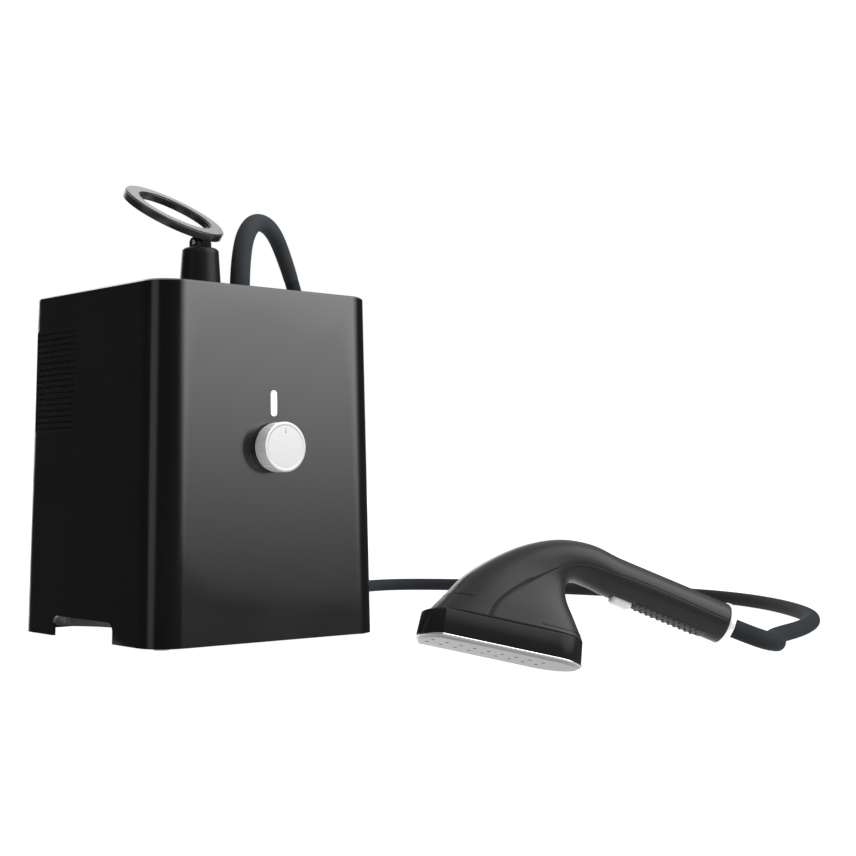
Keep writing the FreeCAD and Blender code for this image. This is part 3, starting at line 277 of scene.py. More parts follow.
def ringed(name, colour, rough, centre, axis, depth=0.00001, rings=9000.0):
    """Turned metal: noise along the distance from an axis, so that it lies in circles round it."""
    finish = Finish(name, Metallic=1.0)
    arm = finish.node("ShaderNodeVectorMath", {"operation": "SUBTRACT"}, {0: finish.place, 1: centre})
    height = finish.node("ShaderNodeVectorMath", {"operation": "DOT_PRODUCT"}, {0: arm, 1: axis}, "Value")
    rise = finish.node("ShaderNodeVectorMath", {"operation": "SCALE"}, {0: axis, "Scale": height})
    spoke = finish.node("ShaderNodeVectorMath", {"operation": "SUBTRACT"}, {0: arm, 1: rise})
    radius = finish.node("ShaderNodeVectorMath", {"operation": "LENGTH"}, {0: spoke}, "Value")
    sockets = {"W": radius, "Scale": rings}
    ring = finish.node("ShaderNodeTexNoise", {"noise_dimensions": "1D"}, sockets, "Fac")
    varied(finish, ring, colour, shares=(0.92, 1.05), rough=rough, spread=0.10)
    return finish.bump(ring, strength=0.10, depth=depth)


KNOB_CENTRE = (0.0, -0.121945, 0.175)
KNOB_AXIS = (0.0, -0.99985, 0.01745)
RING_CENTRE = (-0.0101410, 0.0319683, 0.4064431)
RING_AXIS = (0.1593356, -0.5022893, 0.8498927)

FINISHES = {made.name: made for made in (
    moulded("housing_black", (0.0035, 0.0035, 0.0036), 0.17, depth=0.000006),
    moulded("plate_black", (0.02, 0.02, 0.021), 0.55, grain=1400.0),
    rubbery("foot_rubber", (0.42, 0.42, 0.41)),
    drawn("plated_steel", (0.62, 0.62, 0.63), 0.3, (1, 1, 0.05)),
    drawn("knob_metal", (0.84, 0.84, 0.85), 0.26, (1, 0.02, 1), lines=160.0, metal=0.3),
    ringed("knob_satin", (0.39, 0.39, 0.395), 0.36, KNOB_CENTRE, KNOB_AXIS),
    moulded("switch_plastic", (0.03, 0.03, 0.033), 0.5),
    moulded("light_white", (0.90, 0.90, 0.90), 0.28, Emission_Color=WHITE, Emission_Strength=1.7),
    moulded("tank_dark", (0.016, 0.017, 0.019), 0.22),
    rubbery("cap_black", (0.03, 0.03, 0.03)),
    rubbery("seal_rubber", (0.30, 0.30, 0.29)),
    drawn("boiler_steel", (0.60, 0.60, 0.60), 0.34, (1, 1, 0.04)),
    drawn("valve_brass", (0.68, 0.52, 0.25), 0.3, (1, 1, 0.1)),
    moulded("pump_grey", (0.06, 0.063, 0.066), 0.5),
    drawn("steam_line", (0.70, 0.70, 0.71), 0.28, (0.1, 0.1, 1)),
    moulded("board_green", (0.02, 0.13, 0.05), 0.4, grain=600.0),
    moulded("post_spacer", (0.7, 0.7, 0.67), 0.5),
    moulded("inlet_black", (0.016, 0.016, 0.016), 0.48),
    moulded("post_black", (0.009, 0.009, 0.0093), 0.3, Specular_IOR_Level=0.10),
    moulded("ring_black", (0.012, 0.012, 0.0125), 0.26),
    ringed("ring_satin", (0.19, 0.192, 0.194), 0.3, RING_CENTRE, RING_AXIS),
    rubbery("guard_rubber", (0.030, 0.033, 0.037), 0.7, shine=0.03),
    rubbery("hose_grey", (0.018, 0.020, 0.0225), 0.7, shine=0.03),
    moulded("vent_black", (0.0035, 0.0035, 0.0036), 0.2),
    moulded("handset_grey", (0.018, 0.018, 0.0184), 0.3, grain=3200.0, Specular_IOR_Level=0.13),
    moulded("band_black", (0.010, 0.010, 0.0102), 0.14, depth=0.000005, Specular_IOR_Level=0.06),
    drawn("rim_chrome", (0.52, 0.52, 0.53), 0.2, (1, 1, 1)),
    drawn("sole_light", (0.20, 0.20, 0.203), 0.34, (0.4, 1, 1)),
    drawn("chamber_cast", (0.55, 0.55, 0.55), 0.5, (1, 1, 1), lines=400.0),
    moulded("trigger_light", (0.62, 0.62, 0.63), 0.24),
    rubbery("grip_rubber", (0.014, 0.014, 0.015), 0.5),
    drawn("end_metal", (0.86, 0.86, 0.87), 0.3, (1, 1, 1), metal=0.4),
    moulded("end_black", (0.016, 0.016, 0.017), 0.42),
)}
record_slots = {part["node"]: part["material_slot"] for part in frame["record"]["subparts"]}
for node, thing in frame["nodes"].items():
    thing.data.materials.clear()
    thing.data.materials.append(FINISHES[record_slots[node]].material)
print(len(FINISHES), "finishes on", len(record_slots), "nodes")

# %% [markdown]
# ## Hose
# The hose stands up out of its gland, bends over, comes down beside the box and lies on the floor round to
# the hand steamer. It is one smooth NURBS line along the same route as its solid.

# %% Hose
HOSE_ROUTE = [
    (46, 0, 326), (46, 0, 372), (73, 18, 408), (118, 46, 409), (150, 62, 372), (178, 74, 320),
    (190, 84, 226), (196, 92, 128), (208, 106, 48), (248, 143, 7.5), (332, 222, 7.5), (425, 300, 7.5),
    (508, 322, 7.5), (574, 258, 7.5), (620, 140, 7.5), (652, 12, 7.5), (664, -92, 7.5), (634, -186, 7.5),
    (578, -272, 7.5), (500, -354, 7.5), (408, -404, 7.5), (318, -432, 7.5), (264, -470, 10),
    (226, -505, 14), (190.7, -512.9, 19.3), (165.1, -499.9, 30.9),
]
HOSE_R = 0.0075
HOSE_SIDES = 10
HOSE_STEPS = 16


def hose_line(name, bevel):
    """NURBS curve of order three whose control points are the route's points."""
    curve = bpy.data.curves.new(name, "CURVE")
    curve.dimensions = "3D"
    curve.bevel_depth = bevel
    curve.bevel_resolution = HOSE_SIDES
    curve.resolution_u = HOSE_STEPS
    curve.use_fill_caps = bevel > 0
    spline = curve.splines.new("NURBS")
    spline.points.add(len(HOSE_ROUTE) - 1)
    flat = np.hstack([np.array(HOSE_ROUTE) * MM, np.ones((len(HOSE_ROUTE), 1))])
    spline.points.foreach_set("co", flat.ravel())
    spline.order_u = 3
    spline.use_endpoint_u = True
    line = bpy.data.objects.new(name, curve)
    bpy.context.scene.collection.objects.link(line)
    return line


hose = hose_line("hose", HOSE_R)
hose.data.materials.append(FINISHES["hose_grey"].material)
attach(hose, "station")
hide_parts("steam_hose")
print("hose route", len(HOSE_ROUTE), "points")

# %% [markdown]
# ## Surfaces from arrays
# New pieces are grids of points: a profile carried round an axis, or one outline after another. The helper
# joins neighbours into four-sided faces, closes the ends where asked, and turns all faces outwards.

# %% Surfaces from arrays
CREASE = math.radians(32)
SAME_PLACE = 1e-6
LARGE_FACES_ONLY = 100
# how a grid closes: around its columns, along its rows, with a cap at either end
TUBE = (True, False, True)
HOOP = (True, True, False)
SHEET = (False, False, False)


def grid_faces(rows, columns, around, along, start):
    """Corner numbers of the faces between neighbouring rows and columns of a grid."""
    numbers = np.arange(rows * columns).reshape(rows, columns) + start
    if around:
        numbers = np.hstack([numbers, numbers[:, :1]])
    if along:
        numbers = np.vstack([numbers, numbers[:1]])
    return np.stack([numbers[:-1, :-1], numbers[:-1, 1:], numbers[1:, 1:], numbers[1:, :-1]], -1)


def piece(name, grids, body, slot, replaces=(), keep=None, open_shell=False):
    """Mesh from pairs of a grid of points and how it closes, riding on a body."""
    points, faces, start = [], [], 0
    for block, (around, along, caps) in grids:
        rows, columns, _ = block.shape
        quads = grid_faces(rows, columns, around, along, start)
        chosen = quads.reshape(-1, 4) if keep is None else quads[keep]
        faces += chosen.tolist()
        ends = np.arange(columns)
        if caps:
            faces.append((ends + start).tolist())
            faces.append((ends + start + (rows - 1) * columns).tolist())
        points.append(block.reshape(-1, 3))
        start += rows * columns
    mesh = bpy.data.meshes.new(name)
    mesh.from_pydata(np.vstack(points).tolist(), [], faces)
    return dressed(name, mesh, body, slot, replaces, open_shell=open_shell)


def dressed(name, mesh, body, slot, replaces, crease=CREASE, open_shell=False):
    """Merge doubles, turn faces outwards, shade smoothly up to the crease and ride on the body."""
    shape = bmesh.new()
    shape.from_mesh(mesh)
    bmesh.ops.remove_doubles(shape, verts=shape.verts, dist=SAME_PLACE)
    loose = [v for v in shape.verts if not v.link_faces]
    bmesh.ops.delete(shape, geom=loose, context="VERTS")
    bmesh.ops.recalc_face_normals(shape, faces=shape.faces)
    if open_shell:
        middle = sum((v.co for v in shape.verts), Vector()) / len(shape.verts)
        outwards = sum(f.normal.dot(f.calc_center_median() - middle) * f.calc_area() for f in shape.faces)
        if outwards < 0:
            bmesh.ops.reverse_faces(shape, faces=shape.faces)
    shape.to_mesh(mesh)
    shape.free()
    mesh.shade_smooth()
    mesh.set_sharp_from_angle(angle=crease)
    mesh.materials.clear()
    mesh.materials.append(FINISHES[slot].material)
    thing = bpy.data.objects.new(name, mesh)
    bpy.context.scene.collection.objects.link(thing)
    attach(thing, body)
    if replaces:
        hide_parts(*replaces)
    print(name, "has", len(mesh.polygons), "faces and rides on", body)
    return thing


def evened(thing, keep_sharp):
    """Normals weighted by area, so that a large face shades as flat up to its edges."""
    weighted = thing.modifiers.new("large_faces_first", "WEIGHTED_NORMAL")
    weighted.keep_sharp = keep_sharp
    weighted.weight = LARGE_FACES_ONLY
    return thing


def smoothed(node, name, crease=CREASE):
    """A merged copy of a CAD node, so that its round faces shade as round."""
    body = frame["nodes"][node]["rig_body"]
    copy = dressed(name, frame["nodes"][node].data.copy(), body, record_slots[node], (node,), crease)
    return evened(copy, True)


# %% [markdown]
# ## Profiles
# A turned piece starts as a profile of radius and height. Its corners are rounded first, because no made
# edge is quite sharp, and then the profile is carried round an axis. A Screw modifier would do the same,
# but points in arrays can be placed in any frame.

# %% Profiles
EDGE_SHARE = 0.45       # most of an edge that a rounded corner takes
NEARLY_X = 0.9          # an axis that leans on X this much takes its first spoke from Y


def unit(vectors):
    """Vectors along the last axis, each divided by its length."""
    return vectors / np.linalg.norm(vectors, axis=-1, keepdims=True)


def full_turn(steps):
    """Equal angles once round."""
    return np.linspace(0, 2 * np.pi, steps, endpoint=False)


def rounded(profile, radius, steps=4):
    """Each corner of a closed outline cut back by the radius and rounded by a quadratic arc."""
    corner = np.asarray(profile, float)

    def cut(neighbour):
        """Where the arc leaves the edge that goes to a neighbour."""
        edge = neighbour - corner
        length = np.linalg.norm(edge, axis=1, keepdims=True)
        return (corner + edge / length * np.minimum(radius, length * EDGE_SHARE))[:, None]

    a, b = cut(np.roll(corner, 1, 0)), cut(np.roll(corner, -1, 0))
    t = np.linspace(0, 1, steps + 1)[None, :, None]
    arc = (1 - t) ** 2 * a + 2 * t * (1 - t) * corner[:, None] + t ** 2 * b
    return arc.reshape(-1, corner.shape[1])


def turned(profile, centre, axis, turns=96):
    """Points of a profile (radius, height) at equal turns about an axis through a centre."""
    axis = unit(np.asarray(axis, float))
    side = unit(np.cross(axis, (1, 0, 0) if abs(axis[0]) < NEARLY_X else (0, 1, 0)))
    other = np.cross(axis, side)
    angle = full_turn(turns)[:, None]
    spoke = np.cos(angle) * side + np.sin(angle) * other
    radius, height = np.asarray(profile, float).T
    return np.asarray(centre) + radius[:, None, None] * spoke + height[:, None, None] * axis


# %% [markdown]
# ## Bend guard
# Where the hose leaves the box a thicker sleeve keeps it from kinking, and thins out into the hose. Its
# line is read from the hose's own spline, and its radius falls along that line.

# %% Bend guard
GUARD_R = 0.0100
GUARD_END_R = 0.0077
GUARD_LENGTH = 0.205
GUARD_SIDES = 32
GUARD_TAPER = 1.2

probe = hose_line("hose_probe", 0)
line_mesh = bpy.data.meshes.new_from_object(probe.evaluated_get(bpy.context.evaluated_depsgraph_get()))
hose_points = np.array([v.co for v in line_mesh.vertices])
bpy.data.objects.remove(probe)
bpy.data.meshes.remove(line_mesh)
steps = np.linalg.norm(np.diff(hose_points, axis=0), axis=1)
travel = np.concatenate([[0], np.cumsum(steps)])
print("hose length", round(travel[-1], 4), "m")


def sleeve(points, radii, sides):
    """Rings about a line: each ring stands square to the line, in the plane that the arch lies in."""
    along = unit(np.gradient(points, axis=0))
    sideways = np.cross(points[-1] - points[0], (0, 0, 1))
    across = unit(np.cross(along, sideways))
    level = np.cross(across, along)
    angle = full_turn(sides)[:, None]
    spoke = np.cos(angle) * across[:, None] + np.sin(angle) * level[:, None]
    return points[:, None] + spoke * radii[:, None, None]


guard_line = hose_points[travel < GUARD_LENGTH]
share = travel[travel < GUARD_LENGTH] / GUARD_LENGTH
guard_radius = GUARD_R + (GUARD_END_R - GUARD_R) * share ** GUARD_TAPER
guard = piece(
    "guard", [(sleeve(guard_line, guard_radius, GUARD_SIDES), TUBE)],
    "station", "guard_rubber", ("bend_guard",))

# %% [markdown]
# ## Box
# The cover, tank, gland, post and collar keep their CAD shape. Their round faces are merged, so that light
# runs over them without facets. The tank's scoop meets its flat back at shallow angles, so the tank keeps
# sharp edges from a finer crease on.

# %% Box
FINE_CREASE = math.radians(9)

for node, name in {
        "outer_shell": "cover", "tank_cap": "tank_stopper", "hose_gland": "gland",
        "rest_post": "post", "post_collar": "collar", "ring_pin": "pin", "base_plate": "base",
        "foot_pads": "feet", "light_bar": "lamp_lens", "mains_inlet": "inlet", "hose_ferrule": "ferrule",
        "sole_plate": "sole"}.items():
    smoothed(node, name)
smoothed("water_tank", "tank", FINE_CREASE)

# %% [markdown]
# ## Knob
# A turned cap: a narrow waist at its foot and a straight polished side. A satin lip closes its front, and
# the satin disc lies inside the lip.

# %% Knob
# radius and height of each corner
KNOB_PROFILE = [(9.0, 0.8), (21.7, 0.8), (21.7, 3.6), (22.5, 3.9), (22.5, 16.8), (9.0, 16.8)]
LIP_PROFILE = [(19.3, 16.75), (22.5, 16.75), (22.5, 17.5), (19.3, 17.5)]
KNOB_ROUND, LIP_ROUND = 0.5, 0.3

piece(
    "knob", [(turned(rounded(KNOB_PROFILE, KNOB_ROUND) * MM, KNOB_CENTRE, KNOB_AXIS), HOOP)],
    "knob", "knob_metal", ("control_knob",))
piece(
    "knob_lip", [(turned(rounded(LIP_PROFILE, LIP_ROUND) * MM, KNOB_CENTRE, KNOB_AXIS), HOOP)],
    "knob", "knob_satin")

# %% [markdown]
# ## Ring rest
# A flat ring on a short lug. Its section is a rectangle with soft edges, carried round the ring's axis; the
# satin facing lies in its upper side.

# %% Ring rest
RING_SECTION = [(37.0, -4.0), (52.0, -4.0), (52.0, 3.0), (37.0, 3.0)]
RING_ROUND, RING_TURNS = 0.7, 128

ring_points = turned(rounded(RING_SECTION, RING_ROUND) * MM, RING_CENTRE, RING_AXIS, RING_TURNS)
piece("ring", [(ring_points, HOOP)], "ring", "ring_black", ("rest_ring",))

# %% [markdown]
# ## Ring's lug
# Under the ring a lug stands in the post's fork and turns on the pin. It is one outline, half an eye below
# and a square neck above, at four places along the pin, and the outer two are a little smaller.

# %% Ring's lug
PIN = np.array((0.0, 0.0, 0.374))
FORK_TURN = math.radians(17.6)
EYE_R, LUG_HALF, LUG_EDGE, LUG_TOP = 5.2, 5.5, 0.5, 6.2
EYE_STEPS = 25

pin_axis = np.array((math.cos(FORK_TURN), math.sin(FORK_TURN), 0.0))
uphill = np.cross(RING_AXIS, pin_axis)
under = np.linspace(-math.pi, 0, EYE_STEPS)


def lug_ring(side, inset):
    """Outline of the lug at one place along the pin: half an eye below, a square neck above."""
    eye = np.stack([np.cos(under), np.sin(under)], -1) * (EYE_R - inset)
    neck = np.array([(EYE_R - inset, LUG_TOP), (inset - EYE_R, LUG_TOP)])
    outline = np.vstack([eye, neck]) * MM
    return PIN + side * MM * pin_axis + outline[:, :1] * uphill + outline[:, 1:] * np.array(RING_AXIS)


lug_rings = np.array([lug_ring(*place) for place in (
    (-LUG_HALF, LUG_EDGE), (LUG_EDGE - LUG_HALF, 0.0), (LUG_HALF - LUG_EDGE, 0.0), (LUG_HALF, LUG_EDGE))])
piece("ring_lug", [(lug_rings, TUBE)], "ring", "ring_black")

# %% [markdown]
# ## Hand steamer
# The hand steamer has its own frame: x towards its toe, z out of its back. It lies tipped on the floor, so
# a turn and a shift carry its points into the scene. Its handle has a second frame along its slope.

# %% Hand steamer's frame
HAND_AT = np.array((-25.7, -423.6, 17.9908)) * MM
HEADING, TOE_UP, ROLL, SLOPE = np.radians((155.0, 13.1, 11.0, 9.2))
NECK = np.array((-93.26, 0.0, 77.0))
HANDLE_LONG = 98.0
HANDLE_R = 16.0


def spin(axis, angle):
    """Turning matrix about one of the three axes."""
    first, second = (axis + 1) % 3, (axis + 2) % 3
    turn = np.eye(3)
    turn[first, first] = turn[second, second] = math.cos(angle)
    turn[second, first] = math.sin(angle)
    turn[first, second] = -math.sin(angle)
    return turn


HAND_TURN = spin(2, HEADING) @ spin(1, -TOE_UP) @ spin(0, ROLL)
HANDLE_TURN = spin(1, -SLOPE)
HANDLE_END = NECK - HANDLE_TURN @ (HANDLE_LONG, 0, 0)


def in_hand(points):
    """Millimetres in the hand steamer's frame to metres in the scene."""
    return np.asarray(points) * MM @ HAND_TURN.T + HAND_AT


def on_handle(along, side, up):
    """Millimetres along the handle from its end, to its side and above its axis, in the hand's frame."""
    flat = np.stack(np.broadcast_arrays(along, side, up), -1)
    return flat @ HANDLE_TURN.T + HANDLE_END


print("handle's end at", in_hand(HANDLE_END).round(3).tolist())

# %% [markdown]
# ## Hook body
# Stations along the hook give the rear and the front point in the middle plane and the width. A smooth row
# of stations is drawn through them, and each carries a squared oval. The head's ovals are squarer than the
# handle's, which are round.

# %% Hook body
# rear x z, front x z, width
STATIONS = np.array([
    (-72.0, 22.0, 47.0, 22.0, 53.0), (-64.0, 36.0, 35.0, 39.0, 48.0), (-56.5, 49.0, 23.5, 55.0, 42.0),
    (-54.5, 58.5, 6.0, 70.5, 37.0), (-57.0, 64.5, -19.0, 86.5, 34.0), (-63.5, 66.5, -44.5, 96.0, 32.5),
    (-74.5, 65.0, -70.0, 98.0, 32.0)])
# exponents of the head's stations in front of and behind their middle; the handle's is 1, an oval
FRONT_SQUARE, REAR_SQUARE = 0.5, 0.62
HOOK_ROWS, TRIGGER_ROWS, GRIP_ROWS = 90, 8, 25
GUIDE_BACK = 38.0       # a last guide this far down the handle sets the slope there
TRIGGER_FROM, TRIGGER_TO, TRIGGER_HALF = 76.7, 95.3, 5.8


def handle_station(along):
    """A round station of the handle: rear point, front point and width."""
    rear = on_handle(along, 0.0, -HANDLE_R)
    front = on_handle(along, 0.0, HANDLE_R)
    wide = np.full(np.shape(along), 2 * HANDLE_R)
    return np.stack([rear[..., 0], rear[..., 2], front[..., 0], front[..., 2], wide], -1)


def drawn_through(rows, count, last):
    """Cubic pieces through the rows, with slopes from their neighbours, up to the row numbered last."""
    chord = np.linalg.norm(np.diff(rows, axis=0), axis=1)
    knot = np.concatenate([[0], np.cumsum(chord)])
    slope = np.gradient(rows, knot, axis=0)
    place = np.linspace(0, knot[last], count)
    k = np.clip(np.searchsorted(knot, place, side="right") - 1, 0, len(knot) - 2)
    span = (knot[k + 1] - knot[k])[:, None]
    t = (place - knot[k])[:, None] / span
    start = (1 + 2 * t) * (1 - t) ** 2 * rows[k] + t * (1 - t) ** 2 * span * slope[k]
    return start + t ** 2 * (3 - 2 * t) * rows[k + 1] + t ** 2 * (t - 1) * span * slope[k + 1]


handle_rows = np.concatenate([
    np.linspace(TRIGGER_TO, TRIGGER_FROM, TRIGGER_ROWS + 1),
    np.linspace(TRIGGER_FROM, 0, GRIP_ROWS + 1)[1:]])
guides = np.vstack([STATIONS, handle_station(np.array([HANDLE_LONG, HANDLE_LONG - GUIDE_BACK]))])
hook = drawn_through(guides, HOOK_ROWS, len(STATIONS))
rows = np.vstack([hook, handle_station(handle_rows)])
head_share = np.clip(np.arange(len(rows)) / HOOK_ROWS, 0, 1)


def squareness(ahead):
    """Exponent at each place of the stations, from the head's to the handle's."""
    head = np.where(ahead > 0, FRONT_SQUARE, REAR_SQUARE)
    return head + (1 - head) * head_share[:, None]


def squared(value, power):
    """A cosine or sine drawn out by an exponent, with its sign kept."""
    return np.sign(value) * np.abs(value) ** power


def hook_points(rows, turns, inset):
    """Squared ovals: cosine and sine of the turn, each drawn out by an exponent, span a station."""
    power = squareness(np.cos(turns))
    u, v = squared(np.cos(turns), power), squared(np.sin(turns), power)
    middle = (rows[:, 0:2] + rows[:, 2:4]) / 2
    half = (rows[:, 2:4] - rows[:, 0:2]) / 2
    half = half * (1 - inset / np.linalg.norm(half, axis=1))[:, None]
    flat = middle[:, None] + u[..., None] * half[:, None]
    wide = v * (rows[:, 4] / 2 - inset)[:, None]
    return np.stack([flat[..., 0], wide, flat[..., 1]], -1)


print("hook", len(rows), "stations")

# %% [markdown]
# ## Seam
# A seam parts front and rear shell. It runs up from the head and then along the handle's axis. For every
# station its crossing gives the turn at which one shell ends and the other begins.

# %% Seam
SEAM = np.array([(-58.0, 78.0), (-28.0, 62.0), (11.0, 22.0), (11.0, 0.0)])
SEAM_STEPS, SEAM_REACH = 1200, 0.95
OFF_STATION = 1e6       # keeps places beyond a station's ends out of the choice


def seam_shares(rows):
    """Where the seam crosses each station, from -1 at its rear point to 1 at its front point."""
    axis = on_handle(np.array([0.0, HANDLE_LONG]), 0.0, 0.0)[:, ::2]
    line = np.vstack([axis, SEAM])
    path = drawn_through(line, SEAM_STEPS, len(line) - 1)
    rear, front = rows[:, None, 0:2], rows[:, None, 2:4]
    across = front - rear
    arm = path[None] - rear
    side = across[..., 0] * arm[..., 1] - across[..., 1] * arm[..., 0]
    share = (arm * across).sum(-1) / (across ** 2).sum(-1)
    miss = np.abs(side) + OFF_STATION * ((share < 0) | (share > 1))
    best = np.take_along_axis(share, miss.argmin(1)[:, None], 1)[:, 0]
    return np.clip(2 * best - 1, -SEAM_REACH, SEAM_REACH)


ahead = seam_shares(rows)[:, None]
seam = np.arccos(squared(ahead, 1 / squareness(ahead)))
print("seam at turns of", np.degrees([seam.min(), seam.max()]).round().tolist(), "degrees")

# %% [markdown]
# ## Shells
# Each shell is the part of the hook's skin on its side of the seam, with a wall inwards. The rear one is set
# in by a hair, which shows the seam as a fine line, and leaves out the faces where the trigger comes
# through.

# %% Shells
SHELL = 0.0022
REAR_INSET = 0.07
FRONT_COLUMNS, SIDE_COLUMNS, HOLE_COLUMNS = 80, 23, 8


def walled(thing, thickness):
    """Wall thickness inwards, so that a shell is a closed piece."""
    wall = thing.modifiers.new("wall", "SOLIDIFY")
    wall.thickness = thickness
    wall.offset = -1
    return evened(thing, False)


front_turns = np.linspace(-1, 1, FRONT_COLUMNS + 1) * seam
front_shell = piece(
    "front_half", [(in_hand(hook_points(rows, front_turns, 0.0)), SHEET)],
    "handset", "handset_grey", ("front_shell",), open_shell=True)
walled(front_shell, SHELL)

hole = math.asin(TRIGGER_HALF / HANDLE_R) / math.pi
columns = np.concatenate([
    np.linspace(0, 0.5 - hole, SIDE_COLUMNS + 1),
    np.linspace(0.5 - hole, 0.5 + hole, HOLE_COLUMNS + 1)[1:],
    np.linspace(0.5 + hole, 1, SIDE_COLUMNS + 1)[1:]])
rear_turns = seam + columns * (2 * np.pi - 2 * seam)
keep = np.ones((len(rows) - 1, len(columns) - 1), bool)
keep[HOOK_ROWS:HOOK_ROWS + TRIGGER_ROWS, SIDE_COLUMNS:SIDE_COLUMNS + HOLE_COLUMNS] = False
rear_shell = piece(
    "rear_half", [(in_hand(hook_points(rows, rear_turns, REAR_INSET)), SHEET)],
    "handset", "handset_grey", ("rear_shell",), keep=keep, open_shell=True)
walled(rear_shell, SHELL)

# %% [markdown]
# ## Head band and rim
# The band's outline is two straight sides with a shallow arc at the toe and a deep one at the heel. Rings
# of that outline, set in a little at the upper and lower edge, make the dark band and the bright rim below.

# %% Head band and rim
HEAD_HALF, HEAD_W, TOE, HEEL = 44.0, 56.0, 9.0, 31.0
ARC_STEPS = 40
SIDE_STEPS = 12
# inset and height of each outline
BAND_STEPS = [
    (4.0, 3.4), (0.5, 3.4), (0.15, 3.5), (0.0, 3.9), (1.15, 20.6), (1.5, 21.4), (2.2, 21.9), (6.0, 22.0)]
RIM_STEPS = [
    (4.0, 2.0), (0.1, 2.0), (-0.25, 2.15), (-0.4, 2.5), (-0.4, 2.8), (-0.25, 3.1), (0.1, 3.2), (4.0, 3.2)]


def bow(x, half, depth, steps):
    """Arc through (x, -half), (x + depth, 0) and (x, half)."""
    radius = (half ** 2 + depth ** 2) / (2 * abs(depth))
    reach = math.atan2(half, radius - abs(depth))
    angle = np.linspace(-reach, reach, steps)
    bulge = np.sign(depth) * (radius * np.cos(angle) - (radius - abs(depth)))
    return np.stack([x + bulge, np.sin(angle) * radius], -1)


def plan(inset):
    """The head's outline, set in by the inset, anticlockwise from the toe's right corner."""
    half = HEAD_W / 2 - inset
    toe = bow(HEAD_HALF, half, TOE - inset, ARC_STEPS)
    heel = bow(-HEAD_HALF, half, inset - HEEL, ARC_STEPS)[::-1]
    there = np.linspace(toe[-1], heel[0], SIDE_STEPS)[1:-1]
    home = np.linspace(heel[-1], toe[0], SIDE_STEPS)[1:-1]
    return np.vstack([toe, there, heel, home])


def stack(steps):
    """Outlines at pairs of (inset, height), one above another."""
    return in_hand([np.insert(plan(inset), 2, height, axis=1) for inset, height in steps])


piece("band", [(stack(BAND_STEPS), TUBE)], "handset", "band_black", ("head_band",))
piece("rim", [(stack(RIM_STEPS), TUBE)], "handset", "rim_chrome", ("sole_rim",))

# %% [markdown]
# ## Slits
# Two fine parting lines run round the body: one over the front ridge, one round the heel. Each is a dark
# ribbon laid on the shell along a row of the hook. The ribbon is proud of the shell and no groove is cut, so
# its dark colour is painted shade, standing in for the shade down in the slit.

# %% Slits
SLIT_HALF = 0.55
SLIT_PROUD = 0.12
SLIT_STEPS = 60
FOOT_ROWS = 40          # rows of the hook that the slits lie within
# name, height, middle turn and reach to either side
SLITS = [("front_slit", 36.0, 0.0, 58.0), ("heel_slit", 25.6, 180.0, 80.0)]


def slit(name, height, middle, reach):
    """Dark ribbon round the hook at a height, between two turns either side of a middle turn: painted slit
    shade.
    """
    level = rows[:FOOT_ROWS, 3] if middle == 0 else rows[:FOOT_ROWS, 1]
    place = np.interp([height - SLIT_HALF, height + SLIT_HALF], level, np.arange(FOOT_ROWS))
    turns = np.radians(np.linspace(middle - reach, middle + reach, SLIT_STEPS))[None].repeat(len(rows), 0)
    skin = hook_points(rows, turns, -SLIT_PROUD)
    below = np.floor(place).astype(int)
    part = (place - below)[:, None, None]
    ribbon = skin[below] * (1 - part) + skin[below + 1] * part
    # the darker finish on the ribbon is painted shade: the slit is not cut, its shade is coloured on
    strip = piece(name, [(in_hand(ribbon), SHEET)], "handset", "post_black", open_shell=True)
    return walled(strip, 2 * SLIT_PROUD * MM)


for settings in SLITS:
    slit(*settings)

# %% [markdown]
# ## Grip
# Under the handle lies a strip with four staggered rows of round nubs. All nubs are one dome, repeated by
# adding an array of places to an array of points.

# %% Grip
PAD_FROM, PAD_TO, PAD_HALF, PAD_PROUD = 14.0, 75.0, 8.5, 0.6
NUB_R, NUB_PROUD, NUB_PITCH = 1.3, 1.5, 5.0
NUB_TURNS = np.radians((-24.0, -8.0, 8.0, 24.0))
NUBS = 11
PAD_STEPS, PAD_WALL = 24, 1.4
DOME_RINGS, DOME_SIDES = 6, 14


def round_handle(along, turn, radius):
    """Points on a cylinder about the handle's axis, with turn zero straight below it."""
    return on_handle(along, np.sin(turn) * radius, -np.cos(turn) * radius)


half_turn = math.asin(PAD_HALF / (HANDLE_R + PAD_PROUD))
pad_along, pad_turn = np.meshgrid(
    np.linspace(PAD_FROM, PAD_TO, PAD_STEPS), np.linspace(-half_turn, half_turn, PAD_STEPS), indexing="ij")
pad = round_handle(pad_along, pad_turn, HANDLE_R + PAD_PROUD)
grip = piece(
    "grip_strip", [(in_hand(pad), SHEET)],
    "handset", "grip_rubber", ("grip_pad",), open_shell=True)
walled(grip, PAD_WALL * MM)

row, column = np.meshgrid(np.arange(len(NUB_TURNS)), np.arange(NUBS), indexing="ij")
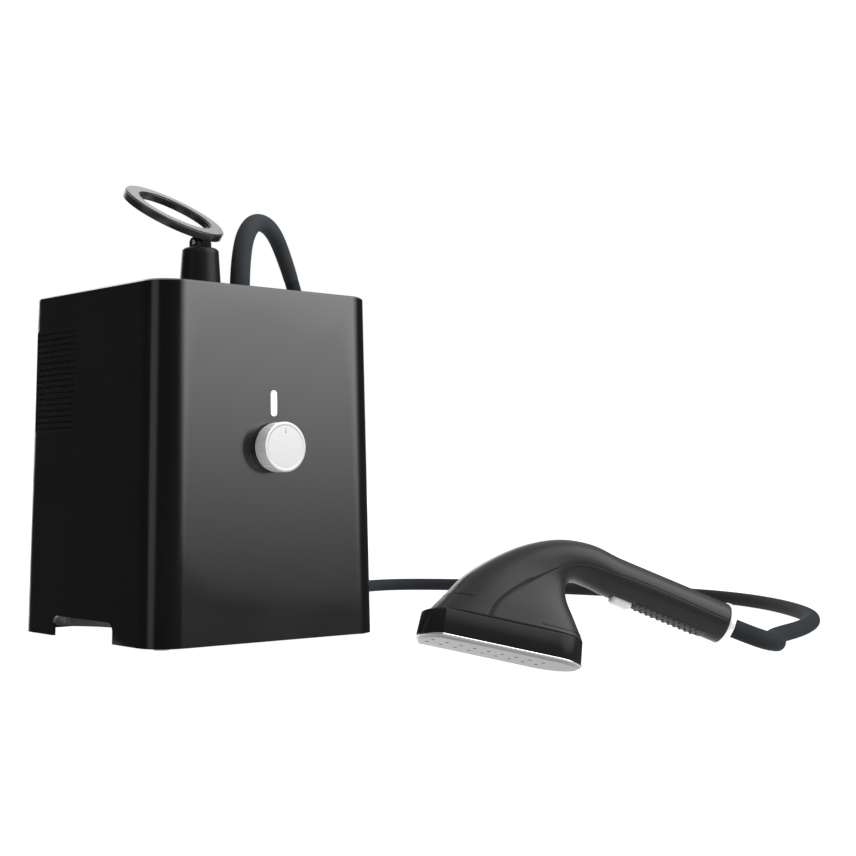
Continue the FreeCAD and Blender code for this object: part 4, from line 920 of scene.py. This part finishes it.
# every second row is half a pitch further on
nub_along = PAD_FROM + NUB_PITCH * ((1 + row % 2) / 2 + column + 0.5)
rise = np.radians(np.linspace(0, 90, DOME_RINGS))
ring_turn = full_turn(DOME_SIDES)
reach = NUB_R * np.cos(rise)
nub_x = reach[:, None] * np.cos(ring_turn)
nub_y = reach[:, None] * np.sin(ring_turn)
nub_z = HANDLE_R + (NUB_PROUD * np.sin(rise))[:, None]
place = nub_along.reshape(-1, 1, 1) + nub_x
turn = NUB_TURNS[row].reshape(-1, 1, 1) + nub_y / HANDLE_R
domes = in_hand(round_handle(place, turn, nub_z))
piece("grip_nubs", [(dome, TUBE) for dome in domes], "handset", "grip_rubber")

# %% [markdown]
# ## Trigger
# The trigger is a pale key in the rear shell, pressed by a finger. It is a stack of rounded outlines that
# shrink towards its top, so that its edge is soft.

# %% Trigger
TRIGGER_MIDDLE, KEY_HALF_LONG, KEY_HALF_WIDE = 86.0, 9.0, 5.5
PILL_SQUARE = 0.4
# inset and height of each outline above the handle's axis
TRIGGER_STEPS = [(0.3, -9.0), (0.3, -16.6), (0.5, -17.6), (1.1, -18.5), (2.2, -19.1), (3.6, -19.3)]


def pill(half_long, half_wide, steps=64):
    """Rounded oblong: a squared oval with a small exponent."""
    turn = full_turn(steps)
    long, wide = squared(np.cos(turn), PILL_SQUARE), squared(np.sin(turn), PILL_SQUARE)
    return np.stack([half_long * long, half_wide * wide], -1)


outlines = [(pill(KEY_HALF_LONG - inset, KEY_HALF_WIDE - inset), up) for inset, up in TRIGGER_STEPS]
trigger_rings = np.array([on_handle(TRIGGER_MIDDLE + o[:, 0], o[:, 1], up) for o, up in outlines])
piece(
    "trigger_key", [(in_hand(trigger_rings), TUBE)], "trigger", "trigger_light", ("trigger",))

# %% [markdown]
# ## End ring
# A bright metal ring closes the handle where the hose comes in. It is turned about the handle's axis.

# %% End ring
# radius and height of each corner
END_PROFILE = [(11.3, -5.0), (16.8, -5.0), (16.8, 0.0), (11.3, 0.0)]
END_ROUND, END_TURNS = 1.0, 72

handle_axis = HAND_TURN @ HANDLE_TURN @ (1.0, 0.0, 0.0)
end_points = turned(rounded(END_PROFILE, END_ROUND) * MM, in_hand(HANDLE_END), handle_axis, END_TURNS)
piece("end_band", [(end_points, HOOP)], "handset", "end_metal", ("end_ring",))
